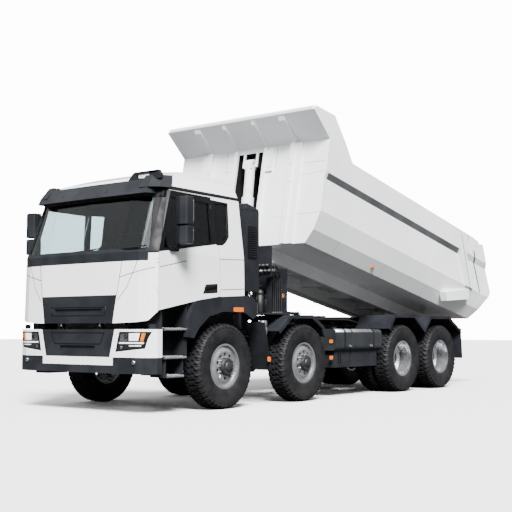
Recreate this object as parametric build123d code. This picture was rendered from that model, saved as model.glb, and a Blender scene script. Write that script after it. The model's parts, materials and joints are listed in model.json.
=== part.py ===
from build123d import *
import os
from math import atan2, cos, degrees, hypot, radians, sin

# Eight-wheel dump truck, twin front steering axles and a twin rear bogie.
# Frame while building: X to the truck's left, Y rearwards from front axle 1, Z up from the ground.
# Every node is moved at the end so that the origin is the middle of the bounding box, on the ground.

# ---------------------------------------------------------------- fits
PIN_FIT = 0.3            # radial running clearance of pins, spindles and hoist tubes
SEAT = 0.3               # rubber on rim, and other curved seats
SHUT = 6                 # gap round a door
GAP = 12                 # gap between the tailgate and the body

# ---------------------------------------------------------------- running gear
TYRE_R = 560
TYRE_W = 310
TREAD_W = 262
SHOULDER_DROP = 34
BULGE_DROP = 135
RIM_R = 286
RIM_HALF = 112
LIP = 11
LIP_H = 12
RIM_T = 14
AXLE_2 = 1790
AXLE_3 = 4660
TANDEM = 1350              # between the two drive axles
AXLE_4 = AXLE_3 + TANDEM
WHEEL_X = 1115           # middle of the outer tyre
TWIN_PITCH = 350
DISC_T = 15
DISC_R = 195
DISH_FRONT = 120         # front disc face, outwards from the middle of its tyre
HUB_R = 105
HUB_NOSE = 55
SPINDLE_R = 45
SPINDLE_REAR_R = 58
KINGPIN_X = 950
KINGPIN_R = 25
KINGPIN_BOSS = 55
KINGPIN_HALF = 80        # half the height of the axle's eye
YOKE_T = 34
YOKE_GAP = 10
BANJO_R = 195
BANJO_T = 230
AXLE_NOSE = 260
AXLE_NOSE_UP = 40
SHAFT_R = 45
LUG_HOLES = 10
LUG_HOLE_R = 22
LUG_HOLE_RING = 158

# ---------------------------------------------------------------- frame
RAIL_X = 440             # outer face of the web
RAIL_FLANGE = 80
RAIL_T = 12
RAIL_LOW = 750
RAIL_TOP = 1050
RAIL_FRONT = -1300
RAIL_REAR = AXLE_4 + 840
CROSS_L = 70
CROSS_LOW = 860
CROSS_TOP = 1035
CROSS_Y = (1340, 2350, 3300, AXLE_3 - 410, (AXLE_3 + AXLE_4) / 2, AXLE_4 + 290, AXLE_4 + 730)
NOSE_BEAM_X = 655
NOSE_BEAM_LOW = 600
NOSE_BEAM_TOP = 790
LAMP_BAR_X = 1200
LAMP_BAR_T = 40
LAMP_BAR_LOW = 960
LAMP_BAR_TOP = 1040
TOW_JAW_R = 26
TOW_JAW_L = 150
TOW_JAW_W = 160
TOW_JAW_LOW = 820
TOW_JAW_TOP = 930

# ---------------------------------------------------------------- tipping gear
PIVOT_Y = AXLE_4 + 710
PIVOT_Z = 1200
PIVOT_R = 40
PIVOT_EAR = 62
EAR_T = 30
SUB_TOP = 1120
SUB_W = 80
BEAM_X0 = 380            # bed runner, inner and outer face
BEAM_X1 = 480
REST_TILT = 11.4
LOW_TILT = 0.0
HIGH_TILT = 44.0
HOIST_Y = 1750
HOIST_Z = 880
HOIST_EYE_Z = 1490
HOIST_STAGES = 3
STAGE_R = (78, 98, 118, 138)     # outer radius, rod first and barrel last
STAGE_L = 1500
STAGE_STEP = 45
HOIST_PIN_R = 30

# ---------------------------------------------------------------- bed, in its own frame
BED_START = 1710            # where the body begins behind the cab when it lies level
BED_FRONT = BED_START - PIVOT_Y
BED_TAIL = 229
HOIST_EYE_Y = BED_FRONT - 10
BED_WALL = 40
FLOOR_T = 40
BOTTOM = 132
RAIL_HALF = 1472            # half the body's width over its top rails
BOTTOM_HALF = RAIL_HALF - 247
CHINE_2 = 335
CHINE_2_HALF = RAIL_HALF - 117
CHINE_1 = 620
CHINE_1_HALF = RAIL_HALF - 25
PANEL_TOP = 1131
PANEL_HALF = RAIL_HALF - 47
RAIL_LOW_Z = 1225
BED_TOP = 1575
FRONT_T = 60
RECESS_HALF = 260
RECESS_WALL = 20
RECESS_TOP = 1690
RECESS_DEEP_TOP = 330
RECESS_DEEP_LOW = 700
CANOPY_BEND = 1740
CANOPY_LIP_Y = BED_FRONT - 476
CANOPY_LIP_Z = 2033
CANOPY_NOSE = (50, 70)     # from the lip's lower edge back and up to its upper one
# column names: y, z of the canopy's side plate
CANOPY_SIDE = (
    (CANOPY_LIP_Y, CANOPY_LIP_Z), (CANOPY_LIP_Y + CANOPY_NOSE[0], CANOPY_LIP_Z + CANOPY_NOSE[1]),
    (BED_FRONT + 67, 2134), (BED_FRONT + 426, 1825), (BED_FRONT + 673, BED_TOP), (BED_FRONT, BED_TOP),
    (BED_FRONT, CANOPY_BEND),
)
HEAD_CHEEK = 110           # inner face of the ears that hold the hoist's eye
# column names: x from, x to, how proud the upright rib stands
WALL_RIBS = ((RECESS_HALF, RECESS_HALF + 60, 45), (790, 870, 60), (870, 1000, 35))
# column names: x from, x to of the ribs under the canopy
CANOPY_RIBS = ((RECESS_HALF, RECESS_HALF + 60), (790, 900))
# the bolted cover beside the hoist's head: x from and to, bottom, top, how proud it stands
HEAD_COVER = (RECESS_HALF + RECESS_WALL, 450, 1330, RECESS_TOP, 30)
# column names: y, z round the box over the lower chine at the tail
TAIL_BOX = ((-964, 327), (-71, 596), (-40, 404), (-879, 186))
TAIL_BOX_X = CHINE_2_HALF - 25

# ---------------------------------------------------------------- tailgate, in the bed's frame
GATE_HINGE_Y = 94
GATE_HINGE_Z = 1500
GATE_PIN_R = 20
GATE_EAR = 60
GATE_PANEL = 70
GATE_SWING = 70
# column names: y, z down the front face, then up the rear face
GATE_FRONT = ((34, 1400), (494, 640), (244, BOTTOM))
GATE_REAR = ((414, BOTTOM), (544, 315), (852, 729), (331, 1541))

# ---------------------------------------------------------------- cab
CAB_WALL = 45
DOOR_T = 60
# column names: height, then x and y from the middle of the nose round to the rear corner
CAB_LEVELS = (
    (1120, ((0, -1470), (700, -1470), (1030, -1430), (1180, -1370), (1250, -1292), (1250, 400), (1215, 430))),
    (2000, ((0, -1455), (700, -1450), (1030, -1405), (1175, -1350), (1250, -1280), (1250, 375), (1215, 405))),
    (2800, ((0, -1225), (690, -1205), (990, -1150), (1120, -1080), (1180, -1000), (1180, 335), (1145, 365))),
    (2990, ((0, -1070), (620, -1055), (900, -1010), (1030, -950), (1110, -880), (1110, 300), (1060, 340))),
    (3090, ((0, -760), (520, -745), (760, -710), (870, -660), (950, -600), (950, 240), (900, 280))),
    (3120, ((0, -420), (420, -410), (600, -390), (680, -360), (730, -320), (730, 190), (690, 220))),
)
# column names: y, z of the cab's lower edge, from the nose to the rear
CAB_EDGE = ((-1475, 1120), (-1380, 1150), (-1285, 1270), (-520, 1414), (-110, 1470), (435, 1500))
CAB_PIVOT_Y = -1400
CAB_PIVOT_Z = 1100
CAB_PIN_R = 14
CAB_LUG_R = 24
CAB_LUG_X = 365
CAB_LUG_T = 26
CAB_TILT = 50
# column names: y, z round the door opening
DOOR_EDGE = ((-1284, 1270), (-1274, 1990), (-1045, 2790), (-242, 2775), (-222, 2180), (-140, 2130), (-110, 1470),
             (-520, 1414))
DOOR_WINDOW = ((-1195, 2035), (-1010, 2700), (-290, 2690), (-272, 2172))
QUARTER = ((-186, 2166), (-202, 2700), (84, 2712), (68, 2292), (2, 2214), (-60, 2180))
DOOR_HINGE_X = 1248
DOOR_HINGE_Y = -1278
DOOR_SWING = 68
DOOR_BARREL = 9
DOOR_PIN_R = 5
HINGE_Z = (1500, 1860)
HINGE_L = 60
HINGE_EAR = 15
GLASS_IN = 18
GLASS_T = 8
# column names: x, z, right half only
WINDSCREEN = ((1150, 2045), (1035, 2715))
GRILLE = ((648, 1120), (700, 1470))
COWL_LOW = 1885
COWL_HALF = 1150
SLOT = ((430, 1245), (450, 1305))
SLOT_DEPTH = 25
# half plans of the sun visor: column names x, y, at its lower and upper edge
VISOR_FRONT = (
    (2740, ((0, -1318), (1030, -1302), (1060, -1220), (1060, -1000))),
    (2935, ((0, -1196), (985, -1180), (1012, -1110), (1012, -950))),
)
VISOR_CORNER = (
    (2818, ((880, -1270), (1030, -1256), (1150, -1170), (1204, -1010), (1120, -900), (880, -900))),
    (2985, ((880, -1140), (985, -1135), (1085, -1060), (1142, -925), (1050, -850), (880, -850))),
)
# the grab loop on the visor's left: x from and to, y of its middle, bottom, top, bar
LOOP_X0 = 610
LOOP_X1 = 1050
LOOP_Y = -1105
LOOP_T = 30
LOOP_LOW = 2900
LOOP_TOP = 3035
LOOP_BAR = 26
ARCH_X0 = 955
ARCH_X1 = 1270
ARCH_LIP = 70
ARCH_OUTER = ((-778, 949), (-748, 1178), (-640, 1391), (-520, 1414), (-110, 1470), (435, 1500), (556, 1480),
              (644, 1394), (633, 1222), (556, 1181))
ARCH_INNER = ((382, 1265), (-75, 1275), (-351, 1211), (-550, 1063), (-649, 933))
ARCH_SHEET = 18
STEP_X0 = 960
STEP_X1 = 1225
STEP_FRONT = -1190
STEP_REAR = -720
STEP_T = 30
STEP_PANEL = 20
# column names: height of the tread, its front end, its rear end
STEPS = ((1030, -1170, -740), (680, -1170, -740), (450, -1120, -785))
MIRROR_X0 = 1340
MIRROR_X1 = 1550
MIRROR_Y0 = -1120
MIRROR_Y1 = -950
MIRROR_SPLIT = 2320
MIRROR_LOW = 2090
MIRROR_TOP = 2680

# ---------------------------------------------------------------- nose
BUMPER_T = 45
BUMPER_TOP = 1045
BUMPER_SPLIT = 700       # white upper part, black lower corners
BUMPER_LOW = 500
LIP_LOW = 600
# column names: x, y round the front of the bumper
BUMPER_PLAN = ((0, -1470), (660, -1470), (1030, -1445), (1190, -1390), (1250, -1290), (1250, -1210))
LOWER_GRILLE = ((600, BUMPER_SPLIT), (685, BUMPER_TOP))
# column names: x, z round the headlamp
HEADLAMP = ((700, 765), (760, 1015), (1215, 1015), (1150, 810))
HEADLAMP_DEPTH = 30
RADIATOR = (345, -1250, -1160, 700, RAIL_TOP + SEAT, 1250)     # half width, front, rear, bottom, step, top
RADIATOR_WIDE = 640
ENGINE = (360, -800, 450, 640, 1300)      # half width, front, rear, bottom, top

# ---------------------------------------------------------------- side equipment
TANK_Y0 = AXLE_2 + 830
TANK_Y1 = AXLE_3 - TYRE_R - 130
TANK_X0 = 600
TANK_X1 = 1245
TANK_LOW = 720
TANK_TOP = 1050
TANK_CORNER = 70
BOX_LOW = 460
BOX_X0 = 700
BOX_X1 = 1240
DUCT_X0 = 820
DUCT_X1 = 1100
DUCT_Y0 = 600
DUCT_Y1 = 900
DUCT_LOW = 1570
DUCT_TOP = 2700
OIL_X = 600
OIL_Y0 = 960
OIL_Y1 = 1320
OIL_TOP = 1950
OIL_CORNER = 50
GUARD_X1 = 1270
GUARD_SHEET = 14
GUARD_LIP = 50
GUARD_2_X0 = 945
GUARD_POST_X = 520
GUARD_R_X0 = 600
# column names: y behind the guard's first axle, z
GUARD_2 = ((-651, 1022), (-413, 1206), (-340, 1250), (187, 1256), (473, 1095), (545, 940))
GUARD_R = (
    (-479, 1059), (-294, 1290), (386, 1296), (TANDEM - 615, 1054), (TANDEM - 389, 1280), (TANDEM + 298, 1285),
    (TANDEM + 771, 1033),
)
GUARD_2_BRACKETS = (-240, 110)
GUARD_R_BRACKETS = (40, TANDEM - 60)
FLAP_T = 14
FLAP_TOP = (800, 1145)
FLAP_FOOT = (950, 480)
REAR_FLAP_FOOT = (TANDEM + 814, 514)


# ================================================================ small tools

def prism_x(points, x0, x1):
    """A closed outline of (y, z) points, drawn out from x0 to x1."""
    plane = Plane(origin=(x0, 0, 0), x_dir=(0, 1, 0), z_dir=(1, 0, 0))
    return extrude(plane * make_face(Polyline(*points, close=True)), x1 - x0)


def prism_y(points, y0, y1):
    """A closed outline of (x, z) points, drawn out from y0 to y1."""
    plane = Plane(origin=(0, y1, 0), x_dir=(1, 0, 0), z_dir=(0, -1, 0))
    return extrude(plane * make_face(Polyline(*points, close=True)), y1 - y0)


def prism_z(points, z0, z1):
    """A closed outline of (x, y) points, drawn out from z0 to z1."""
    return extrude(Pos(0, 0, z0) * make_face(Polyline(*points, close=True)), z1 - z0)


def block(x0, x1, y0, y1, z0, z1):
    return Pos((x0 + x1) / 2, (y0 + y1) / 2, (z0 + z1) / 2) * Box(x1 - x0, y1 - y0, z1 - z0)


def bar_x(x0, x1, y, z, r):
    """A round bar along X."""
    return Pos((x0 + x1) / 2, y, z) * Rot(0, 90, 0) * Cylinder(r, abs(x1 - x0))


def bar_y(x, y0, y1, z, r):
    return Pos(x, (y0 + y1) / 2, z) * Rot(90, 0, 0) * Cylinder(r, abs(y1 - y0))


def bar_z(x, y, z0, z1, r):
    return Pos(x, y, (z0 + z1) / 2) * Cylinder(r, z1 - z0)


def spin_x(points):
    """A closed outline of (x, radius) points, turned about the X axis."""
    return revolve(make_face(Polyline(*points, close=True)), Axis.X)


def mirrored(points):
    """A right-half outline of (x, anything) points, closed by its own mirror image."""
    left = [(-p[0], p[1]) for p in reversed(points) if p[0] > 0]
    return list(points) + left


def flip(shape):
    return mirror(shape, Plane.YZ)


def pair(shape):
    """The shape and its mirror image on the other side of the truck, as two solids."""
    return Compound(solids_of(shape) + solids_of(flip(shape)))


def solids_of(shape):
    return list(shape.solids())


def group(*shapes):
    """Several solids that stay apart, in one node."""
    found = []
    for shape in shapes:
        found += solids_of(shape)
    return Compound(found)


def band(points, thickness):
    """The outline of a folded sheet that lies under a line of (y, z) points."""
    inner = []
    count = len(points)
    for i, (y, z) in enumerate(points):
        before = points[max(i - 1, 0)]
        after = points[min(i + 1, count - 1)]
        ahead = atan2(after[1] - z, after[0] - y) if i < count - 1 else None
        behind = atan2(z - before[1], y - before[0]) if i > 0 else None
        ahead = behind if ahead is None else ahead
        behind = ahead if behind is None else behind
        middle = (ahead + behind) / 2
        reach = thickness / cos((ahead - behind) / 2)
        inner.append((y + reach * sin(middle), z - reach * cos(middle)))
    return list(points) + inner[::-1]


# ================================================================ wheels

def tyre(x):
    bead = RIM_HALF
    half = TYRE_W / 2
    side = [
        (bead, RIM_R), (bead, RIM_R + LIP_H + 2), (half, TYRE_R - BULGE_DROP),
        (half, TYRE_R - SHOULDER_DROP), (TREAD_W / 2, TYRE_R),
    ]
    outline = side + [(-a, r) for a, r in reversed(side)]
    return Pos(x, 0, TYRE_R) * spin_x(outline)


def rim_ring():
    r = RIM_R - SEAT
    half = RIM_HALF + SEAT + LIP
    top = RIM_R + LIP_H
    return [
        (-half, r - RIM_T), (-half, top), (-half + LIP, top), (-half + LIP, r),
        (half - LIP, r), (half - LIP, top), (half, top), (half, r - RIM_T),
    ]


def holes(x0, x1):
    """The bolt and hand holes of a disc, as cutters."""
    cutters = []
    for i in range(LUG_HOLES):
        turn = 360 / LUG_HOLES * i
        cutters.append(Rot(turn, 0, 0) * bar_x(x0, x1, 0, LUG_HOLE_RING, LUG_HOLE_R))
    return cutters


def dish(face, rim_x, thick):
    """Disc section from the hub to the rim: flat at x = face, coned out to the rim at x = rim_x."""
    inner = RIM_R - SEAT - RIM_T
    side = 1 if face > rim_x else -1
    back = face - side * thick
    return spin_x([
        (face, 0), (face, DISC_R), (rim_x, inner + 2), (rim_x - side * thick, inner + 2),
        (back, DISC_R), (back, 0),
    ])


def front_rim():
    """Rim of a steered wheel, its disc and hub nose outermost."""
    ring = spin_x(rim_ring())
    disc = dish(DISH_FRONT, RIM_HALF - 25, DISC_T)
    web_face = KINGPIN_X + KINGPIN_BOSS + YOKE_GAP + YOKE_T - WHEEL_X
    hub = bar_x(web_face + YOKE_GAP, DISH_FRONT + HUB_NOSE, 0, 0, HUB_R)
    bore = bar_x(web_face, DISH_FRONT - DISC_T, 0, 0, SPINDLE_R + PIN_FIT)
    wheel = ring + disc + hub
    for cutter in holes(0, DISH_FRONT + HUB_NOSE + 10):
        wheel -= cutter
    return Pos(WHEEL_X, 0, TYRE_R) * (wheel - bore)


def twin_rims():
    """Both rims of a twin wheel, bolted disc to disc on one hub."""
    half = TWIN_PITCH / 2
    outer = spin_x([(x + half, r) for x, r in rim_ring()])
    inner = spin_x([(x - half, r) for x, r in rim_ring()])
    discs = dish(0, half - RIM_HALF + 20, -DISC_T) + dish(0, -half + RIM_HALF - 20, -DISC_T)
    hub = bar_x(-150, 120, 0, 0, HUB_R)
    bore = bar_x(-160, 95, 0, 0, SPINDLE_REAR_R + PIN_FIT)
    wheel = outer + inner + discs + hub
    for cutter in holes(-60, 60):
        wheel -= cutter
    return Pos(WHEEL_X - half, 0, TYRE_R) * (wheel - bore)


# ================================================================ axles

def steer_beam(y):
    """Dropped front axle beam with a bored eye at each end."""
    low = TYRE_R - 60
    top = TYRE_R + 60
    half = [(0, top - 100), (250, top - 100), (330, top), (KINGPIN_X, top), (KINGPIN_X, low), (360, low),
            (270, low - 100), (0, low - 100)]
    beam = prism_y(half + [(-x, z) for x, z in half[::-1][1:-1]], y - 45, y + 45)
    for side in (-1, 1):
        x = side * KINGPIN_X
        beam += bar_z(x, y, TYRE_R - KINGPIN_HALF, TYRE_R + KINGPIN_HALF, KINGPIN_BOSS)
        beam -= bar_z(x, y, TYRE_R - KINGPIN_HALF - 1, TYRE_R + KINGPIN_HALF + 1, KINGPIN_R + PIN_FIT)
    return beam


def knuckle(y):
    """Left-hand steering knuckle: fork, kingpin and wheel spindle in one."""
    x = KINGPIN_X
    clear = KINGPIN_HALF + PIN_FIT
    web0 = x + KINGPIN_BOSS + YOKE_GAP
    web1 = web0 + YOKE_T
    fork = block(web0, web1, y - KINGPIN_BOSS, y + KINGPIN_BOSS, TYRE_R - clear - YOKE_T, TYRE_R + clear + YOKE_T)
    for side in (-1, 1):
        z0 = TYRE_R + side * clear
        z1 = z0 + side * YOKE_T
        low, high = min(z0, z1), max(z0, z1)
        fork += bar_z(x, y, low, high, KINGPIN_BOSS)
        fork += block(x, web0, y - KINGPIN_BOSS, y + KINGPIN_BOSS, low, high)
    fork += bar_z(x, y, TYRE_R - clear - 1, TYRE_R + clear + 1, KINGPIN_R)
    fork += bar_x(web1, WHEEL_X + DISH_FRONT - DISC_T - 5, y, TYRE_R, SPINDLE_R)
    return fork


def leaf_spring(y, half_length, low):
    """One leaf pack under the rail, from hanger to hanger."""
    x0 = RAIL_X - RAIL_FLANGE
    mid = low + 90
    outline = [
        (-half_length, RAIL_LOW - 55), (-250, low + 18), (-70, low), (70, low), (250, low + 18),
        (half_length, RAIL_LOW - 55), (half_length, RAIL_LOW), (half_length - 90, RAIL_LOW),
        (200, mid), (-200, mid), (-half_length + 90, RAIL_LOW), (-half_length, RAIL_LOW),
    ]
    return prism_x([(y + a, z) for a, z in outline], x0, x0 + RAIL_FLANGE)


def rear_axle(y):
    """Drive axle: casing, banjo and the two spindles."""
    stub = WHEEL_X - TWIN_PITCH / 2 + 90
    casing = bar_x(-560, 560, y, TYRE_R, 85)
    banjo = Pos(0, y, TYRE_R) * Rot(90, 0, 0) * Cylinder(BANJO_R, BANJO_T)
    nose = bar_y(0, y - AXLE_NOSE, y, TYRE_R + AXLE_NOSE_UP, 110)
    ends = bar_x(-stub, stub, y, TYRE_R, SPINDLE_REAR_R)
    pads = block(-RAIL_X, -RAIL_X + RAIL_FLANGE, y - 70, y + 70, TYRE_R, BOGIE_PAD)
    pads += block(RAIL_X - RAIL_FLANGE, RAIL_X, y - 70, y + 70, TYRE_R, BOGIE_PAD)
    return casing + banjo + nose + ends + pads


BOGIE_PAD = TYRE_R + 100


def bogie_spring():
    """Leaf pack that joins the two drive axles, hung from the rail at its middle."""
    mid = (AXLE_3 + AXLE_4) / 2
    x0 = RAIL_X - RAIL_FLANGE
    low = BOGIE_PAD
    return prism_x([
        (AXLE_3 - 90, low), (AXLE_3 + 90, low), (mid - 150, low - 30), (mid + 150, low - 30), (AXLE_4 - 90, low),
        (AXLE_4 + 90, low), (AXLE_4 + 90, low + 30), (AXLE_4 - 120, low + 38), (mid + 170, RAIL_LOW),
        (mid - 170, RAIL_LOW), (AXLE_3 + 120, low + 38), (AXLE_3 - 90, low + 30),
    ], x0, x0 + RAIL_FLANGE)


# ================================================================ frame

def chassis_frame():
    """Two channel rails, and the members riveted between them, each a hair off its seat."""
    rail = block(RAIL_X - RAIL_T, RAIL_X, RAIL_FRONT, RAIL_REAR, RAIL_LOW, RAIL_TOP)
    rail += block(RAIL_X - RAIL_FLANGE, RAIL_X, RAIL_FRONT, RAIL_REAR, RAIL_LOW, RAIL_LOW + RAIL_T)
    rail += block(RAIL_X - RAIL_FLANGE, RAIL_X, RAIL_FRONT, RAIL_REAR, RAIL_TOP - RAIL_T, RAIL_TOP)
    inner = RAIL_X - RAIL_T - SEAT
    members = []
    for y in CROSS_Y:
        members.append(block(-inner, inner, y - CROSS_L / 2, y + CROSS_L / 2, CROSS_LOW, CROSS_TOP))
    nose_y = BUMPER_PLAN[0][1] + BUMPER_T
    nose = block(-NOSE_BEAM_X, NOSE_BEAM_X, nose_y, RAIL_FRONT - SEAT, NOSE_BEAM_LOW, NOSE_BEAM_TOP)
    for side in (-1, 1):
        for x in (CAB_LUG_X - CAB_LUG_T, CAB_LUG_X + CAB_LUG_T):
            nose += cab_bracket(side * x)
        nose += bar_x(side * (CAB_LUG_X - CAB_LUG_T), side * (CAB_LUG_X + CAB_LUG_T),
                      CAB_PIVOT_Y, CAB_PIVOT_Z, CAB_PIN_R)
        nose += block(side * RAIL_X - 60 * (side > 0), side * RAIL_X + 60 * (side < 0),
                      RAIL_FRONT - 1, RAIL_FRONT + 120, NOSE_BEAM_LOW + 20, RAIL_LOW - SEAT)
    rear_y = RAIL_REAR + SEAT
    lamp_bar = block(-LAMP_BAR_X, LAMP_BAR_X, rear_y, RAIL_REAR + LAMP_BAR_T, LAMP_BAR_LOW, LAMP_BAR_TOP)
    jaw_end = RAIL_REAR + TOW_JAW_L
    tail = members.pop()
    tail += block(-TOW_JAW_W / 2, TOW_JAW_W / 2, CROSS_Y[-1], jaw_end, TOW_JAW_LOW, TOW_JAW_TOP)
    tail += block(-TOW_JAW_W / 2, TOW_JAW_W / 2, CROSS_Y[-1] - 30, rear_y + 1, TOW_JAW_TOP - 1, LAMP_BAR_LOW + 1)
    tail += lamp_bar
    tail -= bar_z(0, jaw_end - TOW_JAW_W / 2, TOW_JAW_LOW - 1, TOW_JAW_TOP + 1, TOW_JAW_R)
    return group(pair(rail), nose, tail, *members)


def cab_bracket(x):
    """Upright plate on the nose beam that carries one end of the cab's tilting pin."""
    back = RAIL_FRONT - 20
    plate = prism_x([
        (CAB_PIVOT_Y - CAB_LUG_R + 6, NOSE_BEAM_TOP - 1), (back, NOSE_BEAM_TOP - 1),
        (CAB_PIVOT_Y + CAB_LUG_R, CAB_PIVOT_Z), (CAB_PIVOT_Y - CAB_LUG_R + 4, CAB_PIVOT_Z),
    ], x - CAB_LUG_T / 3, x + CAB_LUG_T / 3)
    return plate + bar_x(x - CAB_LUG_T / 3, x + CAB_LUG_T / 3, CAB_PIVOT_Y, CAB_PIVOT_Z, CAB_LUG_R)


def tipper_subframe():
    """Runners on the chassis rails, hoist cradle and the rear tipping pin with its brackets."""
    x1 = RAIL_X
    x0 = RAIL_X - SUB_W
    rail = block(x0, x1, CROSS_Y[0], RAIL_REAR, RAIL_TOP, SUB_TOP)
    for x in (BEAM_X0 - EAR_T - 10, BEAM_X1 + 10):
        ear = block(x, x + EAR_T, PIVOT_Y - PIVOT_EAR, PIVOT_Y + PIVOT_EAR, RAIL_TOP, PIVOT_Z)
        rail += ear + bar_x(x, x + EAR_T, PIVOT_Y, PIVOT_Z, PIVOT_EAR)
    rail += block(BEAM_X0 - EAR_T - 10, BEAM_X1 + EAR_T + 10, PIVOT_Y - PIVOT_EAR, PIVOT_Y + PIVOT_EAR,
                  RAIL_TOP, RAIL_TOP + 40)
    frame = rail + flip(rail)
    reach = BEAM_X1 + 10 + EAR_T
    frame += bar_x(-reach, reach, PIVOT_Y, PIVOT_Z, PIVOT_R)
    for y in (CROSS_Y[0] + 120, HOIST_Y + 330):
        frame += block(-x1, x1, y - 40, y + 40, RAIL_TOP, SUB_TOP)
    cheek_in = STAGE_R[-1] + 24
    for side in (-1, 1):
        a, b = sorted((side * cheek_in, side * (cheek_in + EAR_T)))
        cheek = prism_x([
            (CROSS_Y[0] + 90, SUB_TOP), (HOIST_Y + 360, SUB_TOP), (HOIST_Y + 360, RAIL_TOP),
            (HOIST_Y + 80, HOIST_Z - 60), (HOIST_Y - 80, HOIST_Z - 60), (CROSS_Y[0] + 90, RAIL_TOP),
        ], a, b)
        frame += cheek - bar_x(a - 1, b + 1, HOIST_Y, HOIST_Z, HOIST_PIN_R + PIN_FIT)
    return frame


# ================================================================ nose

def nose_outline(inset):
    """Half plan of the bumper, moved in by the inset."""
    points = []
    for x, y in BUMPER_PLAN:
        points.append((max(x - inset, 0) if x > 900 else x, y + inset if y < BUMPER_PLAN[-1][1] else y))
    return points


def nose_shell(z0, z1):
    outer = mirrored(BUMPER_PLAN)
    inner = mirrored(nose_outline(BUMPER_T))
    inner_front = [(x, y) for x, y in inner]
    reach = BUMPER_PLAN[-1][1] + 50
    inner_front[len(BUMPER_PLAN) - 1] = (inner_front[len(BUMPER_PLAN) - 1][0], reach)
    inner_front[len(BUMPER_PLAN)] = (inner_front[len(BUMPER_PLAN)][0], reach)
    return prism_z(outer, z0, z1) - prism_z(inner_front, z0 - 1, z1 + 1)


def grille_prism(outline, y0, y1):
    return prism_y(mirrored(outline), y0, y1)


def headlamp_prism(y0, y1):
    return prism_y(HEADLAMP, y0, y1)


def bumper():
    """White upper part of the bumper with seats for the lamps and the lower grille."""
    shell = nose_shell(LIP_LOW, BUMPER_TOP)
    shell -= prism_z([(BUMPER_PLAN[1][0], -1600), (1400, -1600), (1400, -1100), (BUMPER_PLAN[1][0], -1100)],
                     LIP_LOW - 1, BUMPER_SPLIT)
    shell -= prism_z([(-BUMPER_PLAN[1][0], -1600), (-1400, -1600), (-1400, -1100), (-BUMPER_PLAN[1][0], -1100)],
                     LIP_LOW - 1, BUMPER_SPLIT)
    shell -= grille_prism(LOWER_GRILLE, -1600, -1300)
    lamp = headlamp_prism(-1600, -1150) & lamp_skin()
    return shell - lamp - flip(lamp)


def lamp_skin():
    """The outer layer of the bumper that the headlamps fill."""
    whole = prism_z(mirrored(BUMPER_PLAN), LIP_LOW, BUMPER_TOP)
    return whole - Pos(0, HEADLAMP_DEPTH, 0) * whole


def headlamps():
    lamp = headlamp_prism(-1600, -1150) & lamp_skin()
    return pair(lamp)


def bumper_trim():
    """Black lower corners, lower lip and lower grille."""
    low = nose_shell(BUMPER_LOW, BUMPER_SPLIT)
    centre = block(-BUMPER_PLAN[1][0], BUMPER_PLAN[1][0], -1600, -1300, LIP_LOW, BUMPER_SPLIT + 1)
    low -= centre
    grille = nose_shell(BUMPER_SPLIT, BUMPER_TOP) & grille_prism(LOWER_GRILLE, -1600, -1300)
    grille -= block(-330, 330, -1600, -1470 + SLOT_DEPTH, 770, 840)
    return group(low, grille)


# ================================================================ cab

def cab_volume(inset):
    """The cab's outside, or the space inside it when moved in by a wall thickness."""
    faces = []
    for z, points in CAB_LEVELS:
        moved = []
        for i, (x, y) in enumerate(points):
            ahead = y + inset if y < 0 else y - inset
            moved.append((x - inset if x > 0 and i > 2 else x, ahead))
        level = z - inset if z == CAB_LEVELS[-1][0] else z
        low = z + (1 if inset else 0)
        height = level if z == CAB_LEVELS[-1][0] else low
        faces.append(Pos(0, 0, height) * make_face(Polyline(*mirrored(moved), close=True)))
    body = loft(faces, ruled=True)
    edge = [(y, z + inset) for y, z in CAB_EDGE]
    below = [(-1700, 1000), (-1700, edge[0][1])] + edge + [(700, edge[-1][1]), (700, 1000)]
    return body - prism_x(below, -1400, 1400)


def cab_skin(volume, depth, direction):
    """The layer of the cab within a depth of one side: X for the left side, Y for the front."""
    shift = Pos(-depth, 0, 0) if direction == "X" else Pos(0, depth, 0)
    return volume - shift * volume


def door_face(gap):
    plane = Plane(origin=(900, 0, 0), x_dir=(0, 1, 0), z_dir=(1, 0, 0))
    face = make_face(Polyline(*DOOR_EDGE, close=True))
    if gap:
        face = offset(face, -gap, kind=Kind.INTERSECTION)
    return extrude(plane * face, 600)


def front_prism(points):
    return prism_y(mirrored(points), -1700, -950)


def grille_cut():
    return front_prism(GRILLE)


def cowl_cut():
    return block(-COWL_HALF, COWL_HALF, -1700, -1100, COWL_LOW, WINDSCREEN[0][1])


def cab_shell(volume, side, front):
    """Hollow cab with its door openings, window openings and tilting lugs."""
    shell = volume - cab_volume(CAB_WALL)
    opening = side & door_face(0)
    quarter = side & prism_x(QUARTER, 900, 1500)
    shell -= opening
    shell -= flip(opening)
    shell -= quarter
    shell -= flip(quarter)
    shell -= front & front_prism(WINDSCREEN)
    shell -= front & grille_cut()
    shell -= front & cowl_cut()
    for x in (-CAB_LUG_X, CAB_LUG_X):
        shell += cab_lug(x)
    for z in HINGE_Z:
        clear = bar_z(DOOR_HINGE_X, DOOR_HINGE_Y, z + HINGE_EAR, z + HINGE_L - HINGE_EAR, DOOR_BARREL + 2)
        shell -= clear
        shell -= flip(clear)
    hinges = door_hinge_ears()
    return shell + hinges + flip(hinges)


def door_hinge_ears():
    """Hinge ears and pins in the left door's front shut line, part of the cab."""
    x = DOOR_HINGE_X
    y = DOOR_HINGE_Y
    ears = []
    for z in HINGE_Z:
        for low in (z, z + HINGE_L - HINGE_EAR):
            ears.append(bar_z(x, y, low, low + HINGE_EAR, DOOR_BARREL))
            ears.append(block(x - 30, x, y - 24, y, low, low + HINGE_EAR))
        ears.append(bar_z(x, y, z, z + HINGE_L, DOOR_PIN_R))
    return Part() + ears


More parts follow.
